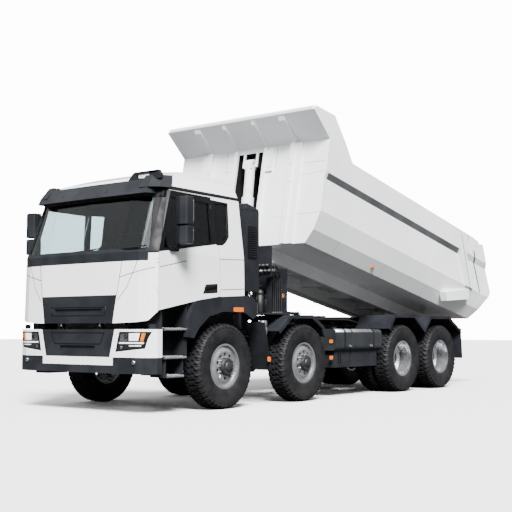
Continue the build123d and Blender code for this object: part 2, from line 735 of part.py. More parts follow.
def cab_lug(x):
    """Lug under the cab's front, with the eye of its tilting pin."""
    half = CAB_LUG_T / 3
    clear = 1
    lug = prism_x([
        (CAB_PIVOT_Y + 4, CAB_PIVOT_Z - CAB_LUG_R + 2), (CAB_PIVOT_Y + CAB_LUG_R + 60, CAB_PIVOT_Z + 40),
        (CAB_PIVOT_Y + 130, 1310), (CAB_PIVOT_Y + 20, 1310), (CAB_PIVOT_Y, CAB_PIVOT_Z + CAB_LUG_R),
    ], x - half - clear, x + half + clear)
    lug += bar_x(x - half - clear, x + half + clear, CAB_PIVOT_Y, CAB_PIVOT_Z, CAB_LUG_R)
    return lug - bar_x(x - 50, x + 50, CAB_PIVOT_Y, CAB_PIVOT_Z, CAB_PIN_R + PIN_FIT)


def cab_trim(front):
    """Black upper grille and the black band under the windscreen."""
    grille = front & grille_cut()
    grille -= prism_y(mirrored(SLOT), -1700, CAB_LEVELS[0][1][0][1] + SLOT_DEPTH)
    cowl = front & cowl_cut()
    return group(grille, cowl)


def cab_glass(volume):
    """Windscreen and the two fixed quarter panes."""
    front = Pos(0, GLASS_IN, 0) * volume - Pos(0, GLASS_IN + GLASS_T, 0) * volume
    screen = front & front_prism(WINDSCREEN)
    side = Pos(-GLASS_IN, 0, 0) * volume - Pos(-GLASS_IN - GLASS_T, 0, 0) * volume
    pane = side & prism_x(QUARTER, 900, 1500)
    return group(screen, pane, flip(pane))


def door(volume):
    side = cab_skin(volume, DOOR_T, "X") & door_face(SHUT)
    side -= prism_x(DOOR_WINDOW, 900, 1500)
    x = DOOR_HINGE_X
    y = DOOR_HINGE_Y
    for z in HINGE_Z:
        side -= bar_z(x, y, z - 1, z + HINGE_L + 1, DOOR_BARREL + 2)
        low = z + HINGE_EAR + PIN_FIT
        high = z + HINGE_L - HINGE_EAR - PIN_FIT
        side += bar_z(x, y, low, high, DOOR_BARREL)
        side += block(x - 12, x - 1, y + 4, y + 20, low, high)
        side -= bar_z(x, y, low - 1, high + 1, DOOR_PIN_R + PIN_FIT)
    return side


def door_glass(volume):
    side = Pos(-GLASS_IN, 0, 0) * volume - Pos(-GLASS_IN - GLASS_T, 0, 0) * volume
    return side & prism_x(DOOR_WINDOW, 900, 1500)


def mirror_set():
    """Mirror heads, their arms and the door handle of the left door."""
    head = block(MIRROR_X0, MIRROR_X1, MIRROR_Y0, MIRROR_Y1, MIRROR_SPLIT + 15, MIRROR_TOP)
    low = block(MIRROR_X0, MIRROR_X1 - 20, MIRROR_Y0, MIRROR_Y1, MIRROR_LOW, MIRROR_SPLIT)
    stem = block(MIRROR_X0 + 15, MIRROR_X0 + 55, MIRROR_Y0 + 60, MIRROR_Y1 - 40, MIRROR_LOW - 60, MIRROR_TOP - 30)
    foot = block(1250, MIRROR_X0 + 55, MIRROR_Y0 + 20, MIRROR_Y1 - 20, 1935, 2000)
    foot += block(MIRROR_X0 + 15, MIRROR_X0 + 55, MIRROR_Y0 + 60, MIRROR_Y1 - 40, 1990, MIRROR_LOW)
    handle = block(1250, 1262, -470, -170, 1500, 1640)
    return group(head + low + stem + foot, handle)


def visor(volume):
    front = visor_layer([(z, mirrored(points)) for z, points in VISOR_FRONT])
    corner = visor_layer(VISOR_CORNER)
    loop = block(LOOP_X0, LOOP_X1, LOOP_Y - LOOP_T / 2, LOOP_Y + LOOP_T / 2, LOOP_LOW, LOOP_TOP)
    loop -= block(LOOP_X0 + 70, LOOP_X1 - 60, LOOP_Y - LOOP_T, LOOP_Y + LOOP_T, LOOP_TOP - 75, LOOP_TOP - LOOP_BAR)
    return front + corner + flip(corner) + loop - volume


def visor_layer(levels):
    faces = [Pos(0, 0, z) * make_face(Polyline(*points, close=True)) for z, points in levels]
    return loft(faces, ruled=True)


def arch_and_steps():
    """Left wheel arch of the cab with the step well in front of it."""
    lip = prism_x(ARCH_OUTER + ARCH_INNER, ARCH_X1 - ARCH_LIP, ARCH_X1)
    inner_line = ARCH_INNER[::-1]
    liner = prism_x(band([(y, z + ARCH_SHEET) for y, z in inner_line], ARCH_SHEET), ARCH_X0, ARCH_X1 - ARCH_LIP + 1)
    hanger = block(ARCH_X0, ARCH_X0 + 40, -300, 300, 1280, 1440)
    well_top = cab_edge_at(STEP_FRONT)
    well_back = cab_edge_at(STEP_REAR)
    back = prism_x([(STEP_FRONT, STEPS[1][0]), (STEP_REAR, STEPS[1][0]), (STEP_REAR, well_back),
                    (STEP_FRONT, well_top)], STEP_X0, STEP_X0 + STEP_PANEL)
    back += block(STEP_X0, STEP_X0 + STEP_PANEL, STEPS[2][1], STEPS[2][2], STEPS[2][0], STEPS[1][0] + 1)
    well = back
    for y in (STEP_FRONT, STEP_REAR - STEP_PANEL):
        top = min(cab_edge_at(y), cab_edge_at(y + STEP_PANEL))
        well += block(STEP_X0, STEP_X1 - 15, y, y + STEP_PANEL, STEPS[1][0], top)
    for z, y0, y1 in STEPS:
        well += block(STEP_X0, STEP_X1, y0, y1, z, z + STEP_T)
    well += block(STEP_X0, STEP_X1 - 15, STEPS[2][1], STEPS[2][1] + STEP_PANEL, STEPS[2][0], STEPS[1][0] + 1)
    well += block(STEP_X0, STEP_X1 - 15, STEPS[2][2] - STEP_PANEL, STEPS[2][2], STEPS[2][0], STEPS[1][0] + 1)
    return lip + liner + hanger + well


def height_on(points, y):
    """Height of a line of (y, z) points at a place along it."""
    for (y0, z0), (y1, z1) in zip(points, points[1:]):
        if y0 <= y <= y1:
            return z0 + (z1 - z0) * (y - y0) / (y1 - y0)
    return points[-1][1]


def cab_edge_at(y):
    """Height of the cab's lower edge at a place along it."""
    return height_on(CAB_EDGE, y)


def dashboard():
    """Instrument panel across the cab, with column and steering wheel."""
    floor_front = cab_edge_at(-1150) + CAB_WALL
    dash = prism_x([(-1355, 1700), (-1355, 1960), (-1250, 1985), (-1010, 1930), (-960, 1800), (-1000, 1560),
                    (-1150, floor_front), (-1230, floor_front), (-1250, 1700)], -1150, 1150)
    column = Pos(560, -900, 1820) * Rot(-55, 0, 0) * Cylinder(30, 300)
    rim = Pos(560, -800, 1895) * Rot(-55, 0, 0) * Torus(215, 16)
    spokes = Pos(560, -800, 1895) * Rot(-55, 0, 0) * Box(420, 40, 14)
    return (dash & cab_volume(CAB_WALL)) + column + rim + spokes


def seats():
    """Driver's and passenger's seat, each on its own base."""
    floor = cab_edge_at(-110) + CAB_WALL
    seat = block(340, 800, -520, -20, floor - 100, floor + 210) & cab_volume(CAB_WALL)
    seat += block(310, 830, -600, 0, floor + 210, floor + 350)
    seat += prism_x([(-60, floor + 330), (90, floor + 340), (230, floor + 990), (120, floor + 990)], 310, 830)
    return pair(seat)


# ================================================================ bed, built level about its tipping pin

def bed_section(inset):
    """Half section of the bed: floor, two chines, panel and top rail."""
    return [
        (0, BOTTOM + inset), (BOTTOM_HALF - inset * 0.5, BOTTOM + inset), (CHINE_2_HALF - inset, CHINE_2 + inset * 0.5),
        (CHINE_1_HALF - inset, CHINE_1), (PANEL_HALF - inset, PANEL_TOP), (PANEL_HALF - inset, RAIL_LOW_Z),
        (PANEL_HALF - inset, BED_TOP + inset),
    ]


def bed_outer():
    half = bed_section(0)[:5] + [(RAIL_HALF, RAIL_LOW_Z), (RAIL_HALF, BED_TOP)]
    return half


def tail_line(gap):
    """Where the body ends and the tailgate begins, as (y, z) points from top to bottom."""
    return [(y - gap, z) for y, z in GATE_FRONT]


def load_space():
    return prism_y(mirrored(bed_section(BED_WALL)), BED_FRONT - 10, 910)


def body_prism():
    outer = prism_y(mirrored(bed_outer()), BED_FRONT, 900)
    tail = tail_line(GAP)
    top = (tail[0][0] - 60, BED_TOP + 200)
    behind = prism_x([top] + [(tail[0][0] - 60, tail[0][1] + 110)] + tail + [(tail[-1][0], 0), (1000, 0),
                     (1000, BED_TOP + 200)], -1600, 1600)
    front_bay = block(-1600, 1600, BED_FRONT - 10, BED_FRONT + FRONT_T, 0, 2000)
    return outer - load_space() - behind - front_bay


def bed_floor(body):
    """Floor with both chines of each side, notched at the front for the hoist."""
    low = body & block(-1600, 1600, BED_FRONT - 10, 1000, 0, CHINE_1)
    box = prism_x(TAIL_BOX, TAIL_BOX_X, CHINE_1_HALF) - load_space()
    low += box + flip(box)
    notch = RECESS_HALF + RECESS_WALL
    return low - block(-notch, notch, BED_FRONT - 20, BED_FRONT + RECESS_DEEP_LOW + RECESS_WALL, 0, CHINE_1 + 10)


def bed_sides(body):
    """Left and right side panels with top rail, rear post, tail ear and canopy gusset."""
    side = body & block(0, 1600, BED_FRONT - 10, 1000, CHINE_1, BED_TOP + 10)
    post = prism_x([(-626, RAIL_LOW_Z), (-326, RAIL_LOW_Z), (54, CHINE_1), (-246, CHINE_1)],
                   PANEL_HALF - 30, RAIL_HALF)
    ear = bar_x(RAIL_HALF - 80, RAIL_HALF, GATE_HINGE_Y, GATE_HINGE_Z, GATE_EAR)
    ear += block(RAIL_HALF - 80, RAIL_HALF, tail_line(GAP)[0][0] - 100, GATE_HINGE_Y,
                 GATE_HINGE_Z - GATE_EAR, GATE_HINGE_Z + GATE_EAR)
    pin = bar_x(RAIL_HALF - 170, RAIL_HALF - 70, GATE_HINGE_Y, GATE_HINGE_Z, GATE_PIN_R)
    gusset = prism_x(CANOPY_SIDE, RAIL_HALF - BED_WALL, RAIL_HALF)
    left = side + post + ear + pin + gusset
    return pair(left)


def bed_front_wall():
    """Front wall with its upright box ribs and the hoist recess."""
    outline = mirrored([(0, BOTTOM), (BOTTOM_HALF, BOTTOM), (CHINE_2_HALF, CHINE_2), (CHINE_1_HALF, CHINE_1),
                        (PANEL_HALF + 20, PANEL_TOP), (RAIL_HALF, RAIL_LOW_Z), (RAIL_HALF, BED_TOP)])
    wall = prism_y(outline, BED_FRONT, BED_FRONT + FRONT_T)
    head = RAIL_HALF - BED_WALL
    wall += block(-head, head, BED_FRONT, BED_FRONT + FRONT_T, BED_TOP - 1, CANOPY_BEND)
    box_half = RECESS_HALF + RECESS_WALL
    deep = RECESS_WALL
    box = prism_x([
        (BED_FRONT, BOTTOM), (BED_FRONT + RECESS_DEEP_LOW + deep, BOTTOM),
        (BED_FRONT + RECESS_DEEP_TOP + deep, RECESS_TOP), (BED_FRONT, RECESS_TOP),
    ], -box_half, box_half)
    hollow = prism_x([
        (BED_FRONT - 10, BOTTOM - 10), (BED_FRONT + RECESS_DEEP_LOW, BOTTOM - 10),
        (BED_FRONT + RECESS_DEEP_TOP, RECESS_TOP - RECESS_WALL), (BED_FRONT - 10, RECESS_TOP - RECESS_WALL),
    ], -RECESS_HALF, RECESS_HALF)
    wall = wall + box - hollow
    for x0, x1, proud in WALL_RIBS:
        rib = block(x0, x1, BED_FRONT - proud, BED_FRONT, BOTTOM, CANOPY_BEND)
        wall += rib + flip(rib)
    x0, x1, low, top, proud = HEAD_COVER
    cover = block(x0 - 1, x1, BED_FRONT - proud, BED_FRONT + 1, low, top)
    wall += cover
    cheek = block(HEAD_CHEEK, HEAD_CHEEK + EAR_T, HOIST_EYE_Y - 20, BED_FRONT + RECESS_DEEP_TOP + 1,
                  HOIST_EYE_Z - 60, RECESS_TOP - RECESS_WALL + 1)
    wall += cheek + flip(cheek)
    return wall


def bed_canopy():
    """Cab guard: sloping plate with tapered ribs under it."""
    back, up = CANOPY_NOSE
    slope = [(BED_FRONT, CANOPY_BEND), (CANOPY_LIP_Y, CANOPY_LIP_Z), (CANOPY_LIP_Y + back, CANOPY_LIP_Z + up),
             (BED_FRONT + FRONT_T, CANOPY_BEND + 40), (BED_FRONT + FRONT_T, CANOPY_BEND)]
    inner = RAIL_HALF - BED_WALL
    plate = prism_x(slope, -inner, inner)
    lip = prism_x([(CANOPY_LIP_Y, CANOPY_LIP_Z), (CANOPY_LIP_Y + back, CANOPY_LIP_Z + up),
                   (CANOPY_LIP_Y + 20, CANOPY_LIP_Z + up), (CANOPY_LIP_Y - 10, CANOPY_LIP_Z + 30)], -inner, inner)
    plate += lip
    for x0, x1 in CANOPY_RIBS:
        rib = prism_x([(BED_FRONT, CANOPY_BEND), (BED_FRONT - 60, CANOPY_BEND), (CANOPY_LIP_Y + 60, CANOPY_LIP_Z - 75),
                       (CANOPY_LIP_Y + 20, CANOPY_LIP_Z - 12), (BED_FRONT, CANOPY_BEND + 1)], x0, x1)
        plate += rib + flip(rib)
    return plate


def bed_underframe():
    """Two runners under the floor, bored for the tipping pin, with cross tubes."""
    runner = block(BEAM_X0, BEAM_X1, BED_FRONT + 20, 0, SUB_TOP + 10 - PIVOT_Z, BOTTOM)
    runner += bar_x(BEAM_X0, BEAM_X1, 0, 0, PIVOT_Z - SUB_TOP - 10)
    runner += block(BEAM_X0, BEAM_X1, -1, 60, 20, BOTTOM)
    runner -= bar_x(BEAM_X0 - 1, BEAM_X1 + 1, 0, 0, PIVOT_R + PIN_FIT)
    frame = runner + flip(runner)
    for y in (-3700, -2800, -1900, -1000):
        frame += block(-BEAM_X0, BEAM_X0, y - 40, y + 40, 20, BOTTOM)
    return frame


def tailgate():
    """Top-hung tailgate: a thick frame with a recessed panel on its outer side."""
    profile = list(GATE_FRONT) + list(GATE_REAR)
    top = [(GATE_HINGE_Y - 50, GATE_HINGE_Z + 13)]
    whole = prism_x(top + profile, -1500, 1500)
    section = prism_y(mirrored(bed_outer()), -400, 1200)
    gate = whole & section
    clear = GATE_EAR + 12
    relief = bar_x(RAIL_HALF - 90, RAIL_HALF + 10, GATE_HINGE_Y, GATE_HINGE_Z, clear)
    relief += block(RAIL_HALF - 90, RAIL_HALF + 10, GATE_HINGE_Y - 200, GATE_HINGE_Y, GATE_HINGE_Z - clear,
                    GATE_HINGE_Z + clear)
    gate -= relief
    gate -= flip(relief)
    for x0, x1 in ((-1280, -690), (-630, -30), (30, 630), (690, 1280)):
        gate -= Pos(x0, 0, 0) * prism_x([(GATE_FRONT[0][0] + GATE_PANEL + 100, 1410),
                                         (GATE_FRONT[1][0] + GATE_PANEL + 20, 660),
                                         (444, 320), (994, 320), (1094, 720), (594, 1410)], 0, x1 - x0)
    for side in (-1, 1):
        a, b = sorted((side * (RAIL_HALF - 165), side * (RAIL_HALF - 95)))
        gate += bar_x(a, b, GATE_HINGE_Y, GATE_HINGE_Z, GATE_EAR - 12)
        gate -= bar_x(a - 10, b + 10, GATE_HINGE_Y, GATE_HINGE_Z, GATE_PIN_R + PIN_FIT)
    return gate


def tipped(shape):
    """Moves a piece of the bed from its own level frame to its place, tipped as it stands."""
    return Pos(0, PIVOT_Y, PIVOT_Z) * Rot(-REST_TILT, 0, 0) * shape


def bed_point(y, z, tilt):
    a = radians(tilt)
    return PIVOT_Y + y * cos(a) + z * sin(a), PIVOT_Z - y * sin(a) + z * cos(a)


# ================================================================ hoist

def hoist_line(tilt):
    """Length and lean of the hoist for one tilt of the bed."""
    y, z = bed_point(HOIST_EYE_Y, HOIST_EYE_Z, tilt)
    return hypot(y - HOIST_Y, z - HOIST_Z), degrees(atan2(y - HOIST_Y, z - HOIST_Z))


def hoist_place(shape):
    """Stands a piece built along +Z from the base pin on the hoist's line."""
    return Pos(0, HOIST_Y, HOIST_Z) * Rot(-hoist_line(REST_TILT)[1], 0, 0) * shape


def hoist_barrel():
    r = STAGE_R[-1]
    barrel = bar_z(0, 0, -40, STAGE_L, r) - bar_z(0, 0, 60, STAGE_L + 1, STAGE_R[-2] + PIN_FIT)
    pins = bar_x(-(r + 24 + EAR_T), r + 24 + EAR_T, 0, 0, HOIST_PIN_R)
    return hoist_place(barrel + pins)


def hoist_stage(number):
    """A telescopic tube, number 1 next to the barrel; the last one is the rod with its eye."""
    r = STAGE_R[-1 - number]
    closed = hoist_line(LOW_TILT)[0]
    out = (hoist_line(REST_TILT)[0] - closed) / HOIST_STAGES * number
    top = STAGE_L + STAGE_STEP * number
    foot = 70 + 30 * number
    if number < HOIST_STAGES:
        bore = STAGE_R[-2 - number] + PIN_FIT
        tube = bar_z(0, 0, foot, top, r) - bar_z(0, 0, foot + 30, top + 1, bore)
    else:
        tube = bar_z(0, 0, foot, closed - 70, r)
        tube += block(-70, 70, -70, 70, closed - 90, closed)
        tube += bar_x(-70, 70, 0, closed, 70)
        tube -= bar_x(-71, 71, 0, closed, HOIST_PIN_R)
    return hoist_place(Pos(0, 0, out) * tube)


# ================================================================ side equipment

def tanks():
    """Side tanks on their brackets, one on each side."""
    body = block(TANK_X0, TANK_X1, TANK_Y0, TANK_Y1, TANK_LOW, TANK_TOP)
    body = fillet(body.edges().filter_by(Axis.Y), TANK_CORNER)
    for y in (TANK_Y0 + 250, TANK_Y1 - 250):
        body += block(RAIL_X + SEAT, TANK_X0 + 20, y - 35, y + 35, TANK_LOW + 80, TANK_TOP - 80)
    return pair(body)


def tool_boxes():
    box = block(BOX_X0, BOX_X1 - 60, TANK_Y0 + 60, TANK_Y1 - 60, BOX_LOW, TANK_LOW)
    return pair(box)


def guard(points, x0, y_brackets):
    """Folded mudguard with a deep outer lip, carried by brackets on the rail, over an axle at y = 0."""
    sheet = prism_x(band(points, GUARD_SHEET), x0, GUARD_X1)
    lip = prism_x(band(points, GUARD_LIP), GUARD_X1 - 30, GUARD_X1)
    body = sheet + lip
    for y in y_brackets:
        top = min(height_on(points, y - 20), height_on(points, y + 20)) - 1
        body += prism_y([
            (RAIL_X + SEAT, 940), (GUARD_POST_X + 30, 940), (GUARD_POST_X + 30, top - 55), (x0 + 60, top - 55),
            (x0 + 60, top), (GUARD_POST_X, top), (GUARD_POST_X, 990), (RAIL_X + SEAT, 990),
        ], y - 20, y + 20)
    return body


def guards():
    """Mudguards of axle 2 and of the rear bogie, with the flaps."""
    front = guard(GUARD_2, GUARD_2_X0, GUARD_2_BRACKETS)
    rear = guard(GUARD_R, GUARD_R_X0, GUARD_R_BRACKETS)
    y0, z0 = GUARD_R[-1]
    y1, z1 = REAR_FLAP_FOOT
    rear += prism_x([(y0 - FLAP_T, z0 + 8), (y0, z0), (y1, z1), (y1 - FLAP_T, z1)], GUARD_R_X0, GUARD_X1)
    ya, za = FLAP_TOP
    yb, zb = FLAP_FOOT
    flap = prism_x([(ya, za), (ya + FLAP_T, za), (yb + FLAP_T, zb), (yb, zb)], ARCH_X0, ARCH_X1)
    flap += block(RAIL_X, ARCH_X0 + 30, ya, ya + 50, 980, 1030)
    return group(pair(Pos(0, AXLE_2, 0) * front), pair(Pos(0, AXLE_3, 0) * rear), pair(flap))


def air_intake():
    """Upright air duct behind the cab, on a post from the left rail."""
    duct = block(DUCT_X0, DUCT_X1, DUCT_Y0, DUCT_Y1, DUCT_LOW, DUCT_TOP)
    post = block(DUCT_X0, DUCT_X0 + 60, 720, 780, RAIL_TOP, DUCT_LOW + 1)
    foot = block(RAIL_X - RAIL_FLANGE, DUCT_X0 + 60, 720, 780, RAIL_TOP, RAIL_TOP + 50)
    return duct + post + foot


def rear_lamps():
    y0 = RAIL_REAR + LAMP_BAR_T
    return pair(block(1000, LAMP_BAR_X, y0, y0 + 45, 970, 1070))


def engine():
    half, front, rear, low, top = ENGINE
    return block(-half, half, front, rear, low, top)


def radiator():
    """Cooler pack behind the grille: low part between the rails, wide part above them."""
    half, front, rear, low, step, top = RADIATOR
    wide = block(-RADIATOR_WIDE, RADIATOR_WIDE, front, rear, step, top)
    return wide + block(-half, half, front, rear, low, step + 1)


def oil_tank():
    """Hydraulic oil tank across the rails, between cab and body."""
    tank = block(-OIL_X, OIL_X, OIL_Y0, OIL_Y1, RAIL_TOP + SEAT, OIL_TOP)
    return fillet(tank.edges().filter_by(Axis.Z), OIL_CORNER)


def driveline():
    """Gearbox behind the engine and the shafts to the drive axles."""
    rear = ENGINE[2]
    box = prism_x([(rear, 680), (rear, 1100), (rear + 350, 1020), (rear + 850, 850), (rear + 850, 680)], -190, 190)
    first = shaft(rear + 850, 760, AXLE_3 - AXLE_NOSE, TYRE_R + AXLE_NOSE_UP)
    second = shaft(AXLE_3 + BANJO_T / 2, TYRE_R + AXLE_NOSE_UP, AXLE_4 - AXLE_NOSE, TYRE_R + AXLE_NOSE_UP)
    return group(box + first, second)


def shaft(y0, z0, y1, z1):
    """Propeller shaft between two flanges, cut square at both ends."""
    over = 60
    length = hypot(y1 - y0, z1 - z0)
    lean = degrees(atan2(z1 - z0, y1 - y0))
    tube = Pos(0, (y0 + y1) / 2, (z0 + z1) / 2) * Rot(lean - 90, 0, 0) * Cylinder(SHAFT_R, length + over)
    return tube & block(-SHAFT_R - 1, SHAFT_R + 1, y0, y1, 0, 2000)


# ================================================================ the truck

def build():
    volume = cab_volume(0)
    side = cab_skin(volume, DOOR_T + SHUT, "X") & block(900, 1500, -1700, 700, 1000, 3300)
    front = cab_skin(volume, CAB_WALL, "Y") & block(-1400, 1400, -1700, -900, 1000, 2900)
    body = body_prism()
    nodes = {
        "frame": chassis_frame(),
        "tipper_subframe": tipper_subframe(),
        "bumper": bumper(),
        "bumper_trim": bumper_trim(),
        "headlamps": headlamps(),
        "radiator": radiator(),
        "engine": engine(),
        "driveline": driveline(),
        "steer_axles": group(steer_beam(0), steer_beam(AXLE_2)),
        "springs": group(
            pair(leaf_spring(0, 700, TYRE_R + 60)), pair(leaf_spring(AXLE_2, 700, TYRE_R + 60)), pair(bogie_spring())),
        "drive_axles": group(rear_axle(AXLE_3), rear_axle(AXLE_4)),
        "tanks": group(tanks(), oil_tank()),
        "tool_boxes": tool_boxes(),
        "guards": guards(),
        "air_intake": air_intake(),
        "rear_lamps": rear_lamps(),
        "cab_shell": cab_shell(volume, side, front),
        "cab_trim": cab_trim(front),
        "cab_glass": cab_glass(volume),
        "visor": visor(volume),
        "cab_arches": pair(arch_and_steps()),
        "dashboard": dashboard(),
        "seats": seats(),
        "door_left": door(volume),
        "door_left_glass": door_glass(volume),
        "door_left_mirror": mirror_set(),
        "bed_floor": tipped(bed_floor(body)),
        "bed_sides": tipped(bed_sides(body)),
        "bed_front_wall": tipped(bed_front_wall()),
        "bed_canopy": tipped(bed_canopy()),
        "bed_underframe": tipped(bed_underframe()),
        "tailgate": tipped(tailgate()),
        "hoist_barrel": hoist_barrel(),
    }
    for part in ("", "_glass", "_mirror"):
        nodes["door_right" + part] = flip(nodes["door_left" + part])
    for number in range(1, HOIST_STAGES + 1):
        nodes[f"hoist_stage_{number}"] = hoist_stage(number)
    inner = WHEEL_X - TWIN_PITCH
    for number, y in ((1, 0), (2, AXLE_2)):
        nodes[f"knuckle_{number}_left"] = knuckle(y)
        nodes[f"rim_{number}_left"] = Pos(0, y, 0) * front_rim()
        nodes[f"tyre_{number}_left"] = Pos(0, y, 0) * tyre(WHEEL_X)
    for number, y in ((3, AXLE_3), (4, AXLE_4)):
        nodes[f"rim_{number}_left"] = Pos(0, y, 0) * twin_rims()
        nodes[f"tyre_{number}_left"] = Pos(0, y, 0) * group(tyre(WHEEL_X), tyre(inner))
    for name in [n for n in nodes if n.endswith("_left") and n != "door_left"]:
        nodes[name.replace("_left", "_right")] = flip(nodes[name])
    return nodes


def bounds(nodes):
    boxes = [shape.bounding_box() for shape in nodes.values()]
    low = [min(getattr(box.min, axis) for box in boxes) for axis in "XYZ"]
    high = [max(getattr(box.max, axis) for box in boxes) for axis in "XYZ"]
    return low, high


NODES = build()
LOW, HIGH = bounds(NODES)
SHIFT = (-(LOW[0] + HIGH[0]) / 2, -(LOW[1] + HIGH[1]) / 2, -LOW[2])

os.makedirs("parts", exist_ok=True)
for name, shape in NODES.items():
    moved = [Pos(*SHIFT) * solid for solid in solids_of(shape)]
    export_step(moved[0] if len(moved) == 1 else Compound(moved), f"parts/{name}.step")
print("nodes", len(NODES), "size", [round(b - a, 1) for a, b in zip(LOW, HIGH)], "shift", SHIFT)
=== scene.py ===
# %% [markdown]
# # A four-axle tipping lorry, dressed for a studio picture
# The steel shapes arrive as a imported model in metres: X points to the lorry's left, -Y is the way it drives and
# Z is up. This lesson gives those shapes their finishes and adds what a workshop bolts on at the end: tyre
# lugs, lamps, wipers, hoses, straps and seams. Each step says what the piece is before it is made.

# %% Load the model
import json
import math

import bmesh
import bpy
from mathutils import Matrix, Vector


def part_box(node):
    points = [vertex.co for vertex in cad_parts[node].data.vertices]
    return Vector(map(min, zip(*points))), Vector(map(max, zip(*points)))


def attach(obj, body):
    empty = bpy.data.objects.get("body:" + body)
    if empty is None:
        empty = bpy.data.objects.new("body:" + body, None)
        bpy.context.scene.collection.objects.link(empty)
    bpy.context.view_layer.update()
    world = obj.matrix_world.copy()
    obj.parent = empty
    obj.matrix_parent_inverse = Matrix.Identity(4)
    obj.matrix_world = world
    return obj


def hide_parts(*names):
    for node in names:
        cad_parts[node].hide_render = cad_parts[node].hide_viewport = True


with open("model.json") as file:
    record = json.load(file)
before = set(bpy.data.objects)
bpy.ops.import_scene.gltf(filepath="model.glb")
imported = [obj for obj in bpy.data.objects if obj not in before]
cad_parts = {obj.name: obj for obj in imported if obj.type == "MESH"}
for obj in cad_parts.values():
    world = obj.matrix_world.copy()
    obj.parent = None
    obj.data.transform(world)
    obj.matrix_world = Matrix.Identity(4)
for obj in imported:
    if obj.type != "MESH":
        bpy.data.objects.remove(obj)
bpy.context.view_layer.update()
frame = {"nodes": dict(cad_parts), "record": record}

nodes = frame["nodes"]

# %% [markdown]
# ## The camera
# A long lens at about waist height keeps the verticals nearly straight and lets the lorry loom a little.
# Camera height, distance and turn were worked out from how the axles and roof corners line up.

# %% Camera
LENS_MM = 68.9
CAMERA_AT = Vector((9.562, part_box("engine")[0].y - 9.133, 1.040))
CAMERA_YAW = math.radians(38.17)
CAMERA_PITCH = math.radians(4.30)


def place_camera():
    camera = bpy.data.objects.new("studio_camera", bpy.data.cameras.new("studio_camera"))
    camera.data.sensor_width = 36.0
    camera.data.lens = LENS_MM
    camera.data.clip_end = 200.0
    camera.location = CAMERA_AT
    look = Vector((-math.sin(CAMERA_YAW) * math.cos(CAMERA_PITCH), math.cos(CAMERA_YAW) * math.cos(CAMERA_PITCH),
                   math.sin(CAMERA_PITCH)))
    camera.rotation_euler = look.to_track_quat("-Z", "Y").to_euler()
    bpy.context.scene.collection.objects.link(camera)
    bpy.context.scene.camera = camera
    print("camera looks along", [round(part, 3) for part in look])


place_camera()

# %% [markdown]
# ## Studio floor and light
# White vehicles are pictured on a white floor in a white room: a bright room fills every shadow, and two large
# soft lamps give the panels their shape. The floor is only scenery.

# %% Floor, room and lamps
HALF_FLOOR = 80.0
floor_mesh = bpy.data.meshes.new("studio_floor")
floor_mesh.from_pydata([(x * HALF_FLOOR, y * HALF_FLOOR, 0.0) for x, y in ((-1, -1), (1, -1), (1, 1), (-1, 1))],
                       [], [(0, 1, 2, 3)])
floor = bpy.data.objects.new("studio_floor", floor_mesh)
bpy.context.scene.collection.objects.link(floor)


def soft_sun(name, towards, strength, spread):
    light = bpy.data.lights.new(name, "SUN")
    light.energy = strength
    light.angle = math.radians(spread)
    lamp = bpy.data.objects.new(name, light)
    lamp.rotation_euler = (-Vector(towards)).to_track_quat("-Z", "Y").to_euler()
    bpy.context.scene.collection.objects.link(lamp)


def pale_floor(seen_tone, bounce_tone):
    """A pale floor that throws little light back up, so that undersides stay as dark as they are outdoors."""
    material, tree, shader = new_material("studio_floor")
    floor_mesh.materials.append(material)
    seen = tree.nodes.new("ShaderNodeLightPath").outputs["Is Camera Ray"]
    join(tree, mapped(tree, seen, 0.0, 1.0, bounce_tone, seen_tone), shader.inputs["Base Color"])
    join(tree, 0.8, shader.inputs["Roughness"])


def white_room(low, high, through_glass, backdrop):
    """The room's walls, dim at the skirting and bright at the ceiling, and white behind the lorry."""
    world = bpy.data.worlds.new("white_room")
    bpy.context.scene.world = world
    world.use_nodes = True
    tree = world.node_tree
    background = tree.nodes["Background"]
    join(tree, (0.97, 0.98, 1.0, 1.0), background.inputs["Color"])
    direction = add_node(tree, "ShaderNodeSeparateXYZ", tree.nodes.new("ShaderNodeTexCoord").outputs["Generated"])
    strength = mapped(tree, direction.outputs["Z"], -0.05, 0.75, low, high)
    path = tree.nodes.new("ShaderNodeLightPath").outputs
    bounces = add_node(tree, "ShaderNodeMath", path["Diffuse Depth"], path["Glossy Depth"])
    not_bounced = add_node(tree, "ShaderNodeMath", bounces.outputs[0], 0.5, settings={"operation": "LESS_THAN"})
    straight_through = product(tree, path["Is Transmission Ray"], not_bounced.outputs[0])
    for ray, value in ((straight_through, through_glass), (path["Is Camera Ray"], backdrop)):
        strength = add_node(tree, "ShaderNodeMix", Factor=ray, A=strength, B=value).outputs["Result"]
    join(tree, strength, background.inputs["Strength"])


# %% [markdown]
# ## Finishes
# Every finish is worked out by nodes from the place on the piece (Object coordinates), never from a picture, so it
# stays put when the part moves. A small helper builds a Principled shader whose colour wanders a little between two
# tones and whose surface carries a fine bump, and each finish sets its own sizes: orange peel on paint, grain
# on plastic, dust low down on rubber and steel.

# %% Finish helper


def join(tree, value, socket):
    """Gives a socket a value, or another node's output."""
    if isinstance(value, bpy.types.NodeSocket):
        tree.links.new(value, socket)
    else:
        socket.default_value = value


def add_node(tree, kind, *values, settings=None, **inputs):
    """Adds a node with its settings; its inputs come in order or by name, each a value or an output."""
    node = tree.nodes.new(kind)
    for label, value in (settings or {}).items():
        setattr(node, label, value)
    for label, value in [*enumerate(values), *inputs.items()]:
        join(tree, value, node.inputs[label.replace("_", " ") if isinstance(label, str) else label])
    return node


def new_material(name):
    material = bpy.data.materials.new(name)
    material.use_nodes = True
    return material, material.node_tree, material.node_tree.nodes["Principled BSDF"]


def coordinates(tree):
    return tree.nodes.new("ShaderNodeTexCoord").outputs["Object"]


